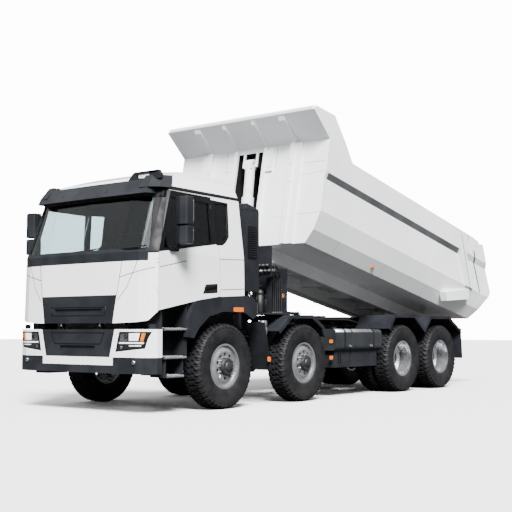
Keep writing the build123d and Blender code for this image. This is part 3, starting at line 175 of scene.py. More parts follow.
def noise(tree, scale, detail, roughness=0.5):
    return add_node(tree, "ShaderNodeTexNoise", Vector=coordinates(tree), Scale=scale, Detail=detail,
                    Roughness=roughness).outputs["Fac"]


def mapped(tree, value, low, high, to_low, to_high):
    return add_node(tree, "ShaderNodeMapRange", settings={"interpolation_type": "SMOOTHSTEP"}, Value=value,
                    From_Min=low, From_Max=high, To_Min=to_low, To_Max=to_high).outputs["Result"]


def product(tree, first, second):
    return add_node(tree, "ShaderNodeMath", first, second, settings={"operation": "MULTIPLY"}).outputs[0]


def tones(tree, factor, low, high):
    node = add_node(tree, "ShaderNodeMix", settings={"data_type": "RGBA"}, Factor=factor)
    for socket, tone in zip([s for s in node.inputs if s.type == "RGBA"], (low, high)):
        join(tree, (*tone, 1.0) if isinstance(tone, tuple) else tone, socket)
    return [s for s in node.outputs if s.type == "RGBA"][0]


def finish(name, low, high, blotch, rough, grain=0.0, grain_size=200.0, metal=0.0, coat=0.0, dust=None, shine=0.5):
    """A finish: two tones mixed by a noise of size blotch, roughness between two values, a fine bump."""
    material, tree, shader = new_material(name)
    colour = tones(tree, mapped(tree, noise(tree, blotch, 4.0), 0.35, 0.65, 0.0, 1.0), low, high)
    if dust:
        tone, top, amount = dust
        height = add_node(tree, "ShaderNodeSeparateXYZ", coordinates(tree)).outputs["Z"]
        low_down = mapped(tree, height, 0.0, top, amount, 0.0)
        patchy = mapped(tree, noise(tree, 6.0, 5.0, 0.6), 0.3, 0.7, 0.3, 1.0)
        colour = tones(tree, product(tree, low_down, patchy), colour, tone)
    wandering = mapped(tree, noise(tree, blotch * 2.3, 3.0), 0.3, 0.7, *rough)
    for label, value in (("Base Color", colour), ("Roughness", wandering), ("Metallic", metal), ("Coat Weight", coat),
                         ("Specular IOR Level", shine), ("Coat Roughness", 0.06)):
        join(tree, value, shader.inputs[label])
    if grain:
        bump = add_node(tree, "ShaderNodeBump", Strength=grain, Distance=0.002, Height=noise(tree, grain_size, 2.0))
        join(tree, bump.outputs["Normal"], shader.inputs["Normal"])
    return material


# %% The room
white_room(0.10, 1.10, 9.0, 14.0)
pale_floor(0.86, 0.03)
soft_sun("key_above_left", (0.50, -0.50, 0.71), 16.0, 20.0)
soft_sun("fill_from_front", (0.25, -1.0, 0.60), 1.6, 40.0)

# %% The lorry's finishes
DUST = (0.30, 0.28, 0.25)
cab_paint = finish("cab_white_gloss", (0.78, 0.79, 0.80), (0.82, 0.83, 0.83), 0.7, (0.20, 0.28), 0.05, 260.0, coat=0.7)
body_paint = finish("body_white_satin", (0.72, 0.73, 0.74), (0.78, 0.79, 0.80), 1.1, (0.34, 0.46), 0.08, 60.0, coat=0.2)
plastic = finish("charcoal_plastic", (0.009, 0.010, 0.012), (0.014, 0.015, 0.018), 3.0, (0.34, 0.46), 0.30, 700.0,
                 dust=(DUST, 1.1, 0.01), shine=0.16)
gloss_black = finish("gloss_black_trim", (0.004, 0.004, 0.005), (0.006, 0.006, 0.007), 2.0, (0.32, 0.44), shine=0.12)
chassis_black = finish("chassis_black", (0.006, 0.007, 0.008), (0.011, 0.012, 0.014), 5.0, (0.36, 0.54), 0.2, 180.0,
                       dust=(DUST, 1.3, 0.01), shine=0.16)
cast_iron = finish("black_castings", (0.008, 0.008, 0.009), (0.016, 0.016, 0.017), 8.0, (0.42, 0.60), 0.5, 260.0,
                   dust=(DUST, 1.0, 0.03))
tank_grey = finish("tank_charcoal", (0.010, 0.011, 0.013), (0.017, 0.019, 0.021), 3.0, (0.30, 0.44), 0.12, 320.0,
                   dust=(DUST, 1.0, 0.02))
rubber = finish("tyre_rubber", (0.007, 0.007, 0.008), (0.012, 0.012, 0.013), 9.0, (0.52, 0.70), 0.45, 420.0,
                dust=(DUST, 0.30, 0.02), shine=0.16)
rim_silver = finish("rim_silver", (0.42, 0.43, 0.45), (0.54, 0.55, 0.57), 6.0, (0.24, 0.36), 0.08, 300.0, metal=0.9,
                    coat=0.2, dust=(DUST, 1.1, 0.04))
hoist_white = finish("hoist_white", (0.72, 0.73, 0.73), (0.79, 0.80, 0.80), 4.0, (0.28, 0.40), 0.06, 200.0, coat=0.3)
bright_metal = finish("bright_step_metal", (0.56, 0.57, 0.58), (0.70, 0.71, 0.72), 12.0, (0.22, 0.40), 0.2, 300.0,
                      metal=0.95)
worn_steel = finish("worn_steel", (0.16, 0.16, 0.17), (0.30, 0.30, 0.31), 14.0, (0.34, 0.52), 0.3, 260.0, metal=0.85)
chrome = finish("lamp_chrome", (0.80, 0.80, 0.82), (0.88, 0.88, 0.90), 5.0, (0.04, 0.08), metal=1.0)
dark_fabric = finish("seat_fabric", (0.016, 0.017, 0.019), (0.030, 0.031, 0.034), 60.0, (0.75, 0.90), 0.5, 900.0)
dash_plastic = finish("dash_plastic", (0.010, 0.011, 0.012), (0.016, 0.017, 0.019), 3.0, (0.50, 0.62), 0.1, 200.0,
                      shine=0.3)
# Black for the pillars. On the hoist recess, the visor slots and the door handle dishes this black is painted shade.
black_trim_and_recess_shade = finish("black_trim_and_recess_shade", (0.004, 0.004, 0.005), (0.009, 0.009, 0.010), 4.0, (0.5, 0.7), 0.3, 160.0,
                      shine=0.2)
engine_grey = finish("engine_grey", (0.05, 0.052, 0.055), (0.08, 0.082, 0.085), 6.0, (0.45, 0.6), 0.3, 160.0)


def clear_material(name, tone, rough, ior):
    material, tree, shader = new_material(name)
    wandering = mapped(tree, noise(tree, 1.5, 2.0), 0.3, 0.7, rough, rough * 1.6)
    for label, value in (("Base Color", (*tone, 1.0)), ("Roughness", wandering), ("IOR", ior),
                         ("Transmission Weight", 1.0)):
        join(tree, value, shader.inputs[label])
    return material


window_glass = clear_material("window_glass", (0.40, 0.48, 0.49), 0.015, 1.45)
lens_clear = clear_material("lens_clear", (0.93, 0.95, 0.97), 0.02, 1.49)
amber_lens = finish("amber_lens", (0.48, 0.095, 0.002), (0.60, 0.135, 0.004), 40.0, (0.18, 0.28), 0.3, 300.0, shine=0.3)
red_lens = finish("red_lens", (0.35, 0.006, 0.006), (0.48, 0.012, 0.010), 40.0, (0.18, 0.28), 0.3, 300.0, shine=0.3)

SLOT_FINISH = {
    "paint": cab_paint, "bed_paint": body_paint, "trim": plastic, "chassis": chassis_black, "axle": cast_iron,
    "engine": engine_grey, "tank": tank_grey, "glass": window_glass, "lamp": lens_clear, "tail_lamp": red_lens,
    "dash": dash_plastic, "seat": dark_fabric, "hoist": hoist_white, "rim": rim_silver, "tyre": rubber,
}

# %% [markdown]
# ## Finishes on the carried-over shapes
# The record names a material slot for each node, so one table gives every solid its finish.

# %% Give every solid its finish


def dress(name, material):
    mesh = nodes[name].data
    mesh.materials.clear()
    mesh.materials.append(material)


for part in frame["record"]["subparts"]:
    dress(part["node"], SLOT_FINISH[part["material_slot"]])

# %% [markdown]
# ## Small tools for making pieces
# The drawings measure from the front axle, so one number turns a drawing's place along the lorry into the model's.
# The tools below make the shapes that come back all the time: an outline pushed out along one axis with its edges
# eased, a profile spun about an axle, a tube along a line, and a patch lifted off a solid's own surface.

# %% Small tools
SHIFT_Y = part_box("engine")[0].y + 0.800
AXLES = (0.0, 1.790, 4.660, 6.010)
SIDES = (("left", 1), ("right", -1))
WHEEL_X = 1.115
TWIN_X = 0.765
HUB_Z = 0.560
PIVOT_Y = 6.720
PIVOT_Z = 1.200
BED_TILT = math.radians(11.4)

# What a piece rides on, and the name of a material slot.
CAB_TRIM = ("cab", "trim")
CAB_PAINT = ("cab", "paint")
FRAME = ("chassis", "chassis")
FRAME_TANK = ("chassis", "tank")
FRAME_LAMP = ("chassis", "lamp")
BED = ("bed", "bed_paint")


def at(x, y, z):
    """A point of the drawings, in metres behind the front axle, as a point of the model."""
    return Vector((x, y + SHIFT_Y, z))


def on_bed(x, y, z):
    """A point of the bed's own drawing, which lies level with its origin on the tipping pin."""
    return at(x, PIVOT_Y + y * math.cos(BED_TILT) + z * math.sin(BED_TILT),
              PIVOT_Z - y * math.sin(BED_TILT) + z * math.cos(BED_TILT))


def both_sides(make):
    """Makes a piece for the left side and its mirror image for the right one."""
    for side, sign in SIDES:
        make(side, sign)


def mesh_of(work, name, smooth=None):
    """Turns a bmesh into a mesh, with its faces shaded smooth or flat where that is given."""
    if smooth is not None:
        for face in work.faces:
            face.smooth = smooth
    mesh = bpy.data.meshes.new(name)
    work.to_mesh(mesh)
    work.free()
    return mesh


def shell_of(node):
    """A node's own faces as a bmesh, with its loose triangles joined."""
    work = bmesh.new()
    work.from_mesh(nodes[node].data)
    bmesh.ops.remove_doubles(work, verts=work.verts, dist=1e-5)
    return work


def keep(name, mesh, material, body):
    piece = bpy.data.objects.new(name, mesh)
    bpy.context.scene.collection.objects.link(piece)
    mesh.materials.clear()
    mesh.materials.append(material)
    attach(piece, body)
    return piece


SHARP_ANGLE = 0.35    # edges that turn by more than this are eased


def finished(name, work, material, body, slot, ease=0.0, smooth=False):
    """Turns a bmesh into a kept piece, with its edges eased and its faces pointing out."""
    bmesh.ops.remove_doubles(work, verts=work.verts, dist=1e-6)
    bmesh.ops.recalc_face_normals(work, faces=work.faces)
    if ease:
        sharp = [e for e in work.edges if len(e.link_faces) == 2 and e.calc_face_angle() > SHARP_ANGLE]
        bmesh.ops.bevel(work, geom=sharp, offset=ease, segments=2, affect="EDGES", profile=0.5, clamp_overlap=True)
    return keep(name, mesh_of(work, name, smooth), material, body)


AXIS_TURN = {
    "X": lambda u, v, w: (w, u, v),    # outline in (y, z)
    "Y": lambda u, v, w: (u, w, v),    # outline in (x, z)
    "Z": lambda u, v, w: (u, v, w),    # outline in (x, y)
}


def add_prism(work, outline, axis, start, end, place=at):
    """Adds an outline of the drawings, pushed along an axis, to a bmesh."""
    turn = AXIS_TURN[axis]
    rings = [[work.verts.new(place(*turn(u, v, w))) for u, v in outline] for w in (start, end)]
    count = len(outline)
    work.faces.new(rings[0])
    work.faces.new(rings[1][::-1])
    for i in range(count):
        j = (i + 1) % count
        work.faces.new((rings[0][i], rings[1][i], rings[1][j], rings[0][j]))


def rectangle(u0, v0, u1, v1):
    return [(u0, v0), (u1, v0), (u1, v1), (u0, v1)]


def box_beside(sign, x0, z0, x1, z1):
    """A rectangle of the left side's drawing, on the side that the sign gives."""
    low, high = sorted((sign * x0, sign * x1))
    return rectangle(low, z0, high, z1)


def rounded(points, radius, steps=4):
    """An outline with each corner turned into a short arc."""
    result = []
    count = len(points)
    for i in range(count):
        before, corner, after = (Vector(points[(i + k) % count]) for k in (-1, 0, 1))
        back = (before - corner).normalized()
        ahead = (after - corner).normalized()
        angle = back.angle(ahead)
        reach = min(radius / math.tan(angle / 2), 0.45 * (before - corner).length, 0.45 * (after - corner).length)
        start = corner + back * reach
        end = corner + ahead * reach
        for step in range(steps + 1):
            t = step / steps
            result.append(tuple((1 - t) ** 2 * start + 2 * t * (1 - t) * corner + t ** 2 * end))
    return result


def prism(name, outline, axis, start, end, material, body, slot, ease=0.004, place=at):
    work = bmesh.new()
    add_prism(work, outline, axis, start, end, place)
    return finished(name, work, material, body, slot, ease)


def tube(name, points, radius, material, body, slot, order=3):
    """A round bar or hose along a line of the drawings, smooth unless its order is 2, kept as a mesh."""
    curve = bpy.data.curves.new(name, "CURVE")
    curve.dimensions = "3D"
    curve.bevel_depth = radius
    curve.bevel_resolution = 4
    curve.use_fill_caps = True
    line = curve.splines.new("NURBS" if order > 2 else "POLY")
    line.points.add(len(points) - 1)
    for point, spot in zip(line.points, points):
        point.co = (*at(*spot), 1.0)
    if order > 2:
        line.order_u = order
        line.use_endpoint_u = True
        line.resolution_u = 10
    holder = bpy.data.objects.new(name + "_line", curve)
    bpy.context.scene.collection.objects.link(holder)
    bpy.context.view_layer.update()
    mesh = bpy.data.meshes.new_from_object(holder.evaluated_get(bpy.context.evaluated_depsgraph_get()))
    bpy.data.objects.remove(holder)
    bpy.data.curves.remove(curve)
    mesh.name = name
    for polygon in mesh.polygons:
        polygon.use_smooth = True
    return keep(name, mesh, material, body)


def add_spun(work, profile, centre, steps, axis="X"):
    """Adds a closed (along, radius) profile spun about a line through a point of the model."""
    middle = Vector(centre)
    rings = []
    for step in range(steps):
        turn = 2 * math.pi * step / steps
        ring = []
        for along, radius in profile:
            a, b = radius * math.cos(turn), radius * math.sin(turn)
            spot = {"X": (along, a, b), "Y": (a, along, b), "Z": (a, b, along)}[axis]
            ring.append(work.verts.new(middle + Vector(spot)))
        rings.append(ring)
    count = len(profile)
    for step in range(steps):
        one, two = rings[step], rings[(step + 1) % steps]
        for i in range(count):
            j = (i + 1) % count
            if profile[i][1] < 1e-7 and profile[j][1] < 1e-7:
                continue
            corners = [one[i], one[j], two[j], two[i]]
            if profile[i][1] < 1e-7:
                corners = [one[i], one[j], two[j]]
            elif profile[j][1] < 1e-7:
                corners = [one[i], one[j], two[i]]
            work.faces.new(corners)


def spun(name, parts, steps, axis, material, body, slot):
    """A smooth piece of one or more spun parts, each a profile and its centre on the drawings."""
    work = bmesh.new()
    for profile, centre in parts:
        add_spun(work, profile, at(*centre), steps, axis)
    return finished(name, work, material, body, slot, smooth=True)


FRONT_OF = {"X": (1, 0, 0), "Y": (0, -1, 0), "Z": (0, 0, 1)}
GRAZING = 0.12    # a face that looks less than this towards the front is left out


def skin_patch(name, node, outline, axis, lift, material, body, slot, side=0, thickness=0.003, also=(), place=at,
               facing=None):
    """A thin panel that follows a solid's own surface: the faces inside a convex outline, lifted off by a hair.

    The outline is drawn square to the axis; side keeps only the half with x of that sign; also lists extra
    (point, direction) planes whose far side is cut away; facing is the way that the kept faces look, or "all"."""
    work = shell_of(node)
    turn = AXIS_TURN[axis]
    count = len(outline)
    middle = sum((Vector(p) for p in outline), Vector((0, 0))) / count
    planes = []
    for i in range(count):
        a, b = Vector(outline[i]), Vector(outline[(i + 1) % count])
        across = Vector((b.y - a.y, a.x - b.x)).normalized()
        if across.dot(middle - a) > 0:
            across = -across
        planes.append((turn(a.x, a.y, 0.0), turn(across.x, across.y, 0.0)))
    if side:
        planes.append(((0.0, 0.0, 0.0), (-side, 0.0, 0.0)))
    origin = place(0.0, 0.0, 0.0)
    for point, outward in planes + list(also):
        bmesh.ops.bisect_plane(work, geom=work.verts[:] + work.edges[:] + work.faces[:], plane_co=place(*point),
                               plane_no=place(*outward) - origin, clear_outer=True, dist=1e-6)
    if facing != "all":
        front = (side, 0, 0) if side and axis == "X" else FRONT_OF[axis]
        look = place(*(facing or front)) - origin
        bmesh.ops.delete(work, geom=[f for f in work.faces if f.normal.dot(look) < GRAZING], context="FACES")
    bmesh.ops.remove_doubles(work, verts=work.verts, dist=1e-5)
    moves = {v: v.normal.copy() for v in work.verts if v.link_faces}
    for vert, normal in moves.items():
        vert.co += normal * lift
    bmesh.ops.solidify(work, geom=work.faces[:], thickness=thickness)
    if not work.faces:
        print("empty patch:", name)
    return keep(name, mesh_of(work, name), material, body)


# %% [markdown]
# ## Repeats with Geometry Nodes
# Lugs, wheel nuts and slats are one small shape repeated along a ring or a row. A node tree places the instances;
# its named inputs hold the count and sizes. The tree ends by making the instances real and giving them their
# finish, and the result is kept as a plain mesh, since an export drops live instances.

# %% Ring and row trees


def repeat_tree(name, inputs):
    tree = bpy.data.node_groups.new(name, "GeometryNodeTree")
    tree.interface.new_socket("Geometry", in_out="INPUT", socket_type="NodeSocketGeometry")
    tree.interface.new_socket("Geometry", in_out="OUTPUT", socket_type="NodeSocketGeometry")
    for label, kind, value in (*inputs, ("Material", "NodeSocketMaterial", None)):
        socket = tree.interface.new_socket(label, in_out="INPUT", socket_type=kind)
        if value is not None:
            socket.default_value = value
    return tree, tree.nodes.new("NodeGroupInput").outputs, tree.nodes.new("NodeGroupOutput")


def finish_tree(tree, given, result, points, **turn):
    place = add_node(tree, "GeometryNodeInstanceOnPoints", Points=points, Instance=given["Geometry"], **turn)
    real = add_node(tree, "GeometryNodeRealizeInstances", Geometry=place.outputs["Instances"])
    paint = add_node(tree, "GeometryNodeSetMaterial", Geometry=real.outputs["Geometry"], Material=given["Material"])
    join(tree, paint.outputs["Geometry"], result.inputs["Geometry"])
    return tree


def ring_tree():
    """Copies of a small shape round the X axis, each with its own Z pointing away from the axle."""
    tree, given, result = repeat_tree("ring_of_copies", [
        ("Count", "NodeSocketInt", 12), ("Radius", "NodeSocketFloat", 0.2), ("Turn", "NodeSocketFloat", 0.0)])
    circle = add_node(tree, "GeometryNodeMeshCircle", Vertices=given["Count"], Radius=given["Radius"])
    upright = add_node(tree, "GeometryNodeTransform", Geometry=circle.outputs["Mesh"], Rotation=(0.0, math.pi / 2, 0.0))
    offset = add_node(tree, "ShaderNodeCombineXYZ", X=given["Turn"])
    turned = add_node(tree, "GeometryNodeTransform", Geometry=upright.outputs["Geometry"],
                      Rotation=offset.outputs["Vector"])
    position = tree.nodes.new("GeometryNodeInputPosition")
    aim = add_node(tree, "FunctionNodeAlignRotationToVector", settings={"axis": "Z", "pivot_axis": "X"},
                   Vector=position.outputs["Position"])
    return finish_tree(tree, given, result, turned.outputs["Geometry"], Rotation=aim.outputs["Rotation"])


def row_tree():
    """Copies of a small shape along a straight step."""
    tree, given, result = repeat_tree("row_of_copies", [
        ("Count", "NodeSocketInt", 5), ("Step", "NodeSocketVector", None)])
    line = add_node(tree, "GeometryNodeMeshLine", settings={"mode": "OFFSET"}, Count=given["Count"],
                    Offset=given["Step"])
    return finish_tree(tree, given, result, line.outputs["Mesh"])


RING = ring_tree()
ROW = row_tree()


def repeated(work, tree, settings, material):
    """Runs a repeat tree on a bmesh seed and returns the plain mesh."""
    seed_mesh = mesh_of(work, "seed")
    seed = bpy.data.objects.new("seed", seed_mesh)
    bpy.context.scene.collection.objects.link(seed)
    modifier = seed.modifiers.new("repeat", "NODES")
    modifier.node_group = tree
    sockets = {item.name: item.identifier for item in tree.interface.items_tree if item.in_out == "INPUT"}
    for label, value in {**settings, "Material": material}.items():
        modifier[sockets[label]] = value
    bpy.context.view_layer.update()
    mesh = bpy.data.meshes.new_from_object(seed.evaluated_get(bpy.context.evaluated_depsgraph_get()))
    bpy.data.objects.remove(seed)
    bpy.data.meshes.remove(seed_mesh)
    return mesh


def absorb(work, mesh):
    """Moves a helper mesh into a bmesh."""
    work.from_mesh(mesh)
    bpy.data.meshes.remove(mesh)


def assembled(name, mesh, places, material, body, slot, sign=1):
    """A piece of copies of a mesh at points of the drawings, each turned into its mirror image on the right."""
    work = bmesh.new()
    for place in places:
        copy = mesh.copy()
        matrix = Matrix.Translation(at(*place))
        if sign < 0:
            matrix = matrix @ Matrix.Diagonal((-1, 1, 1, 1))
        copy.transform(matrix)
        absorb(work, copy)
    if sign < 0:
        bmesh.ops.reverse_faces(work, faces=work.faces)
    return keep(name, mesh_of(work, name), material, body)


# %% [markdown]
# ## Tyres
# A lorry tyre is a rounded carcass with chunky blocks: two rows in the middle and one row of long lugs on each
# shoulder that run down over the edge. One lug is drawn, eased, and repeated round the tread by the ring tree.

# %% One tyre, centred on its axle
TYRE_R = 0.560
TREAD_DEPTH = 0.016
LUG_ROOT = 0.004
CROWN_GAP = 0.0005
SHOULDER_X = 0.112
SHOULDER_WIDE = 0.042
SHOULDER_DROP = 0.036
LUG_EASE = 0.0022
TYRE_PROFILE = [(0.112, 0.286), (0.126, 0.300), (0.138, 0.335), (0.150, 0.385), (0.154, 0.440), (0.151, 0.485),
                (0.146, 0.516), (0.136, 0.532), (0.120, 0.541), (0.060, 0.544)]
LUG_COUNT = 44
LUG_PLANS = (
    # plan of a lug in (across, along), share of a step by which its row is turned
    (((0.070, -0.026), (0.112, -0.030), (0.1535, -0.028), (0.1535, 0.014), (0.112, 0.016), (0.070, 0.020)), 0.0),
    (((0.008, -0.022), (0.058, -0.030), (0.058, 0.012), (0.008, 0.020)), 0.5),
)


def shoulder_top(x):
    """Distance of the tread's surface from its crown, at a place across it."""
    across = abs(x)
    if across < SHOULDER_X:
        return -CROWN_GAP
    return -CROWN_GAP - SHOULDER_DROP * ((across - SHOULDER_X) / SHOULDER_WIDE) ** 1.7


def lug_seed(points):
    """A block on a plan of (across, along) points, from the carcass up to the tread's surface."""
    work = bmesh.new()
    low = [work.verts.new((x, y * 0.97, shoulder_top(x) - TREAD_DEPTH - LUG_ROOT)) for x, y in points]
    high = [work.verts.new((x, y, shoulder_top(x))) for x, y in points]
    work.faces.new(low[::-1])
    work.faces.new(high)
    for i in range(len(points)):
        j = (i + 1) % len(points)
        work.faces.new((low[i], low[j], high[j], high[i]))
    bmesh.ops.recalc_face_normals(work, faces=work.faces)
    top = [e for e in work.edges if len(e.link_faces) == 2 and e.calc_face_angle() > 0.6 and
           all(v in high for v in e.verts)]
    bmesh.ops.bevel(work, geom=top, offset=LUG_EASE, segments=1, affect="EDGES")
    return work


def tyre_mesh():
    work = bmesh.new()
    add_spun(work, TYRE_PROFILE + [(-a, r) for a, r in reversed(TYRE_PROFILE)], (0, 0, 0), 72)
    bmesh.ops.recalc_face_normals(work, faces=work.faces)
    for face in work.faces:
        face.smooth = True
    for plan, phase in LUG_PLANS:
        for side in (1, -1):
            seed = lug_seed([(side * x, side * y) for x, y in plan])
            turn = 2 * math.pi / LUG_COUNT * (phase + (0.25 if side < 0 else 0.0))
            absorb(work, repeated(seed, RING, {"Count": LUG_COUNT, "Radius": TYRE_R, "Turn": turn}, rubber))
    return mesh_of(work, "tyre")


TYRE = tyre_mesh()
print("tyre triangles:", sum(len(p.vertices) - 2 for p in TYRE.polygons), "size", max(v.co.z for v in TYRE.vertices))

# %% The twelve tyres
for number, axle in enumerate(AXLES, 1):
    for side, sign in SIDES:
        across = (WHEEL_X,) if number <= 2 else (WHEEL_X, TWIN_X)
        piece = assembled(f"lugged_tyre_{number}_{side}", TYRE, [(sign * x, axle, HUB_Z) for x in across], rubber,
                          f"wheel_{number}_{side}", "tyre", sign)
        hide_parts(f"tyre_{number}_{side}")

# %% [markdown]
# ## Rims, nuts and hubs
# Each wheel is bolted on with ten nuts round a hub. The front hub stands out with a stepped cap; on the drive
# axles the hub sits at the bottom of a deep dish and ends in the half shaft's bolted flange.

# %% Nut and bolt rings


def bolt_ring(count, ring, radius, tall, material):
    """Bolt heads round the X axis; the seed points along X, so the ring's own turn leaves it alone."""
    work = bmesh.new()
    bmesh.ops.create_cone(work, cap_ends=True, segments=6, radius1=radius, radius2=radius * 0.94, depth=tall)
    bmesh.ops.translate(work, verts=work.verts, vec=(0, 0, tall / 2))
    bmesh.ops.create_cone(work, cap_ends=True, segments=12, radius1=radius * 0.5, radius2=radius * 0.42, depth=tall)
    bmesh.ops.translate(work, verts=work.verts[-24:], vec=(0, 0, tall))
    bmesh.ops.rotate(work, verts=work.verts, cent=(0, 0, 0), matrix=Matrix.Rotation(math.pi / 2, 3, "Y"))
    return repeated(work, RING, {"Count": count, "Radius": ring, "Turn": 0.3}, material)


NUTS = bolt_ring(10, 0.1225, 0.0125, 0.020, bright_metal)
FLANGE_BOLTS = bolt_ring(8, 0.074, 0.008, 0.010, cast_iron)

# %% Hubs on all wheels
FRONT_HUB = (0.120, 0.175, 0.022)    # disc's face and hub's nose out from the wheel's middle, cap's height
TWIN_HUB = (0.016, 0.120, 0.012)
LIP_R = 0.2925
LIP_THICK = 0.0065


def hub_profile(face, nose, cap):
    """Cap over a hub, as (along, radius): foot ring, barrel, shoulder, centre cap."""
    return [(face + 0.001, 0.1055), (face + 0.001, 0.113), (face + 0.010, 0.113), (face + 0.014, 0.1085),
            (nose - 0.004, 0.1075), (nose + 0.004, 0.098), (nose + 0.004, 0.062), (nose + 0.010, 0.058),
            (nose + cap, 0.052), (nose + cap + 0.004, 0.044), (nose + cap + 0.004, 0.0), (nose + 0.0005, 0.0),
            (nose + 0.0005, 0.1055)]


def lip_profile(middle):
    """Bright rolled edge of a rim."""
    turns = [2 * math.pi * step / 12 for step in range(12)]
    return [(middle + LIP_THICK * math.cos(turn), LIP_R + LIP_THICK * math.sin(turn)) for turn in turns]


def spun_mesh(profile, steps=48):
    work = bmesh.new()
    add_spun(work, profile, (0, 0, 0), steps)
    bmesh.ops.recalc_face_normals(work, faces=work.faces)
    for edge in [e for e in work.edges if e.calc_face_angle(0) > 0.5]:
        edge.smooth = False
    return mesh_of(work, "spun", True)


for number, axle in enumerate(AXLES, 1):
    front = number <= 2
    middle = WHEEL_X if front else (WHEEL_X + TWIN_X) / 2
    disc, nose, cap = FRONT_HUB if front else TWIN_HUB
    shapes = [
        ("hub_cap", spun_mesh(hub_profile(disc, nose, cap)), 0.0, cast_iron, "axle"),
        ("hub_bolts", FLANGE_BOLTS, nose + 0.004, cast_iron, "axle"),
        ("wheel_nuts", NUTS, disc, worn_steel, "rim"),
        ("rim_lip", spun_mesh(lip_profile(WHEEL_X + 0.1165 - middle), 72), 0.0, bright_metal, "rim"),
    ]
    # On the drive axles a dark disc on the rim's face is painted shade at the bottom of the deep dish.
    if not front:
        plate = [(disc + out, radius) for out, radius in ((0.0004, 0.095), (0.0016, 0.095), (0.0016, 0.205),
                                                          (0.0004, 0.205), (0.0004, 0.095))]
        shapes.append(("dish_shade_disc", spun_mesh(plate), 0.0, cast_iron, "rim"))
    for label, mesh, out, material, slot in shapes:
        for side, sign in SIDES:
            assembled(f"{label}_{number}_{side}", mesh, [(sign * (middle + out), axle, HUB_Z)], material,
                      f"wheel_{number}_{side}", slot, sign)

# %% [markdown]
# ## Cab: black pillars, window frames and seams
# The white shell and doors stay as they are. Everything black round the windows is a thin skin that follows their
# surface, lifted off by a millimetre and a half; the black band above the windscreen is painted shadow under the visor.

# %% Black round the windows
HAIR = 0.0015    # how far a skin stands off its solid


def pillar(side, sign):
    for label, outline, limit, material in (
            ("pillar_black", [(-1.600, 1.965), (-1.262, 1.985), (-1.030, 2.800), (-1.420, 2.800)], 1.030, black_trim_and_recess_shade),
            ("quarter_frame", [(-0.232, 2.140), (-0.060, 2.150), (0.012, 2.192), (0.086, 2.276), (0.102, 2.732),
                               (-0.260, 2.745)], 1.060, gloss_black)):
        skin_patch(f"{label}_{side}", "cab_shell", outline, "X", HAIR, material, *CAB_TRIM, sign,
                   also=(((sign * limit, 0, 0), (-sign, 0, 0)),), facing="all")
    outline = [(-1.300, 1.992), (-0.190, 2.155), (-0.190, 2.900), (-1.300, 2.900)]
    skin_patch(f"window_frame_{side}", f"door_{side}", outline, "X", HAIR, gloss_black, f"door_{side}", "trim", sign,
               facing="all")
    outline = [(-1.050, 2.798), (0.430, 2.786), (0.430, 2.822), (-1.050, 2.842)]
    skin_patch(f"drip_rail_{side}", "cab_shell", outline, "X", 0.006, gloss_black, *CAB_TRIM, sign, thickness=0.012)


both_sides(pillar)
# The black band across the header is painted shadow, cast by the visor above it.
skin_patch("visor_shadow_band", "cab_shell", rectangle(-1.16, 2.690, 1.16, 2.830), "Y", HAIR, gloss_black, *CAB_TRIM)

# %% [markdown]
# ## Seams on the nose
# The nose is a flap between two corner panels. Its joints show as thin dark lines, and the line along the door
# runs on across the corner panel.

# %% Nose seams
SEAM = 0.009
NOSE_SEAMS = (
    # label, two ends in (x, z)
    ("panel_seam", (0.775, 1.885), (0.738, 1.650)), ("panel_seam_low", (0.738, 1.650), (0.640, 1.130)),
    ("corner_line", (1.016, 1.885), (0.864, 1.566)), ("corner_line_low", (0.864, 1.566), (0.725, 1.408)),
    ("cross_line", (0.745, 1.690), (1.220, 1.800)),
)


def seam_strip(name, node, start, end, axis, body, slot, side, material=gloss_black, wide=SEAM, place=at):
    """A thin line on a surface, between two points of its outline."""
    a, b = Vector(start), Vector(end)
    across = Vector((b.y - a.y, a.x - b.x)).normalized() * wide / 2
    outline = [tuple(a + across), tuple(a - across), tuple(b - across), tuple(b + across)]
    skin_patch(name, node, outline, axis, 0.0008, material, body, slot, side, thickness=0.001, place=place)


def nose_seams(side, sign):
    for label, *ends in NOSE_SEAMS:
        seam_strip(f"{label}_{side}", "cab_shell", *[(sign * x, z) for x, z in ends], "Y", *CAB_PAINT, 0)
    door = f"door_{side}"
    seam_strip(f"door_line_{side}", door, (-1.262, 1.806), (-0.780, 1.905), "X", door, "paint", sign)
    seam_strip(f"rear_line_{side}", "cab_shell", (-0.130, 1.960), (0.430, 1.985), "X", *CAB_PAINT, sign)
    seam_strip(f"rear_line_low_{side}", "cab_shell", (-0.120, 1.560), (0.430, 1.590), "X", *CAB_PAINT, sign)


both_sides(nose_seams)

# %% [markdown]
# ## Headlamps
# Each holds a bright main lamp with an amber marker at its outer end, a light bar, and a dark lower unit with a
# round fog lamp. The solid block becomes the black housing; each lamp is a skin on its curved front.

# %% Headlamp parts
dress("headlamps", gloss_black)
lamp_glow = finish("lamp_white", (0.86, 0.88, 0.90), (0.95, 0.96, 0.97), 8.0, (0.10, 0.18), coat=0.8)
LAMP_PARTS = (
    # label, outline in (x, z), lift, finish
    ("main_lamp", [(0.775, 0.905), (0.788, 0.990), (0.900, 0.995), (0.900, 0.905)], 0.004, chrome),
    ("side_lamp", [(0.925, 0.905), (0.925, 0.995), (1.085, 0.998), (1.062, 0.905)], 0.004, lamp_glow),
    ("marker", [(1.085, 0.900), (1.108, 0.998), (1.160, 0.998), (1.128, 0.900)], 0.004, amber_lens),
    ("light_bar", [(0.765, 0.868), (0.768, 0.888), (1.140, 0.888), (1.132, 0.868)], 0.006, lamp_glow),
    ("low_unit", [(0.735, 0.790), (0.752, 0.852), (1.110, 0.852), (1.095, 0.820)], 0.002, plastic),
    ("low_strip", [(0.930, 0.838), (0.930, 0.850), (1.105, 0.850), (1.100, 0.838)], 0.006, lamp_glow),
)
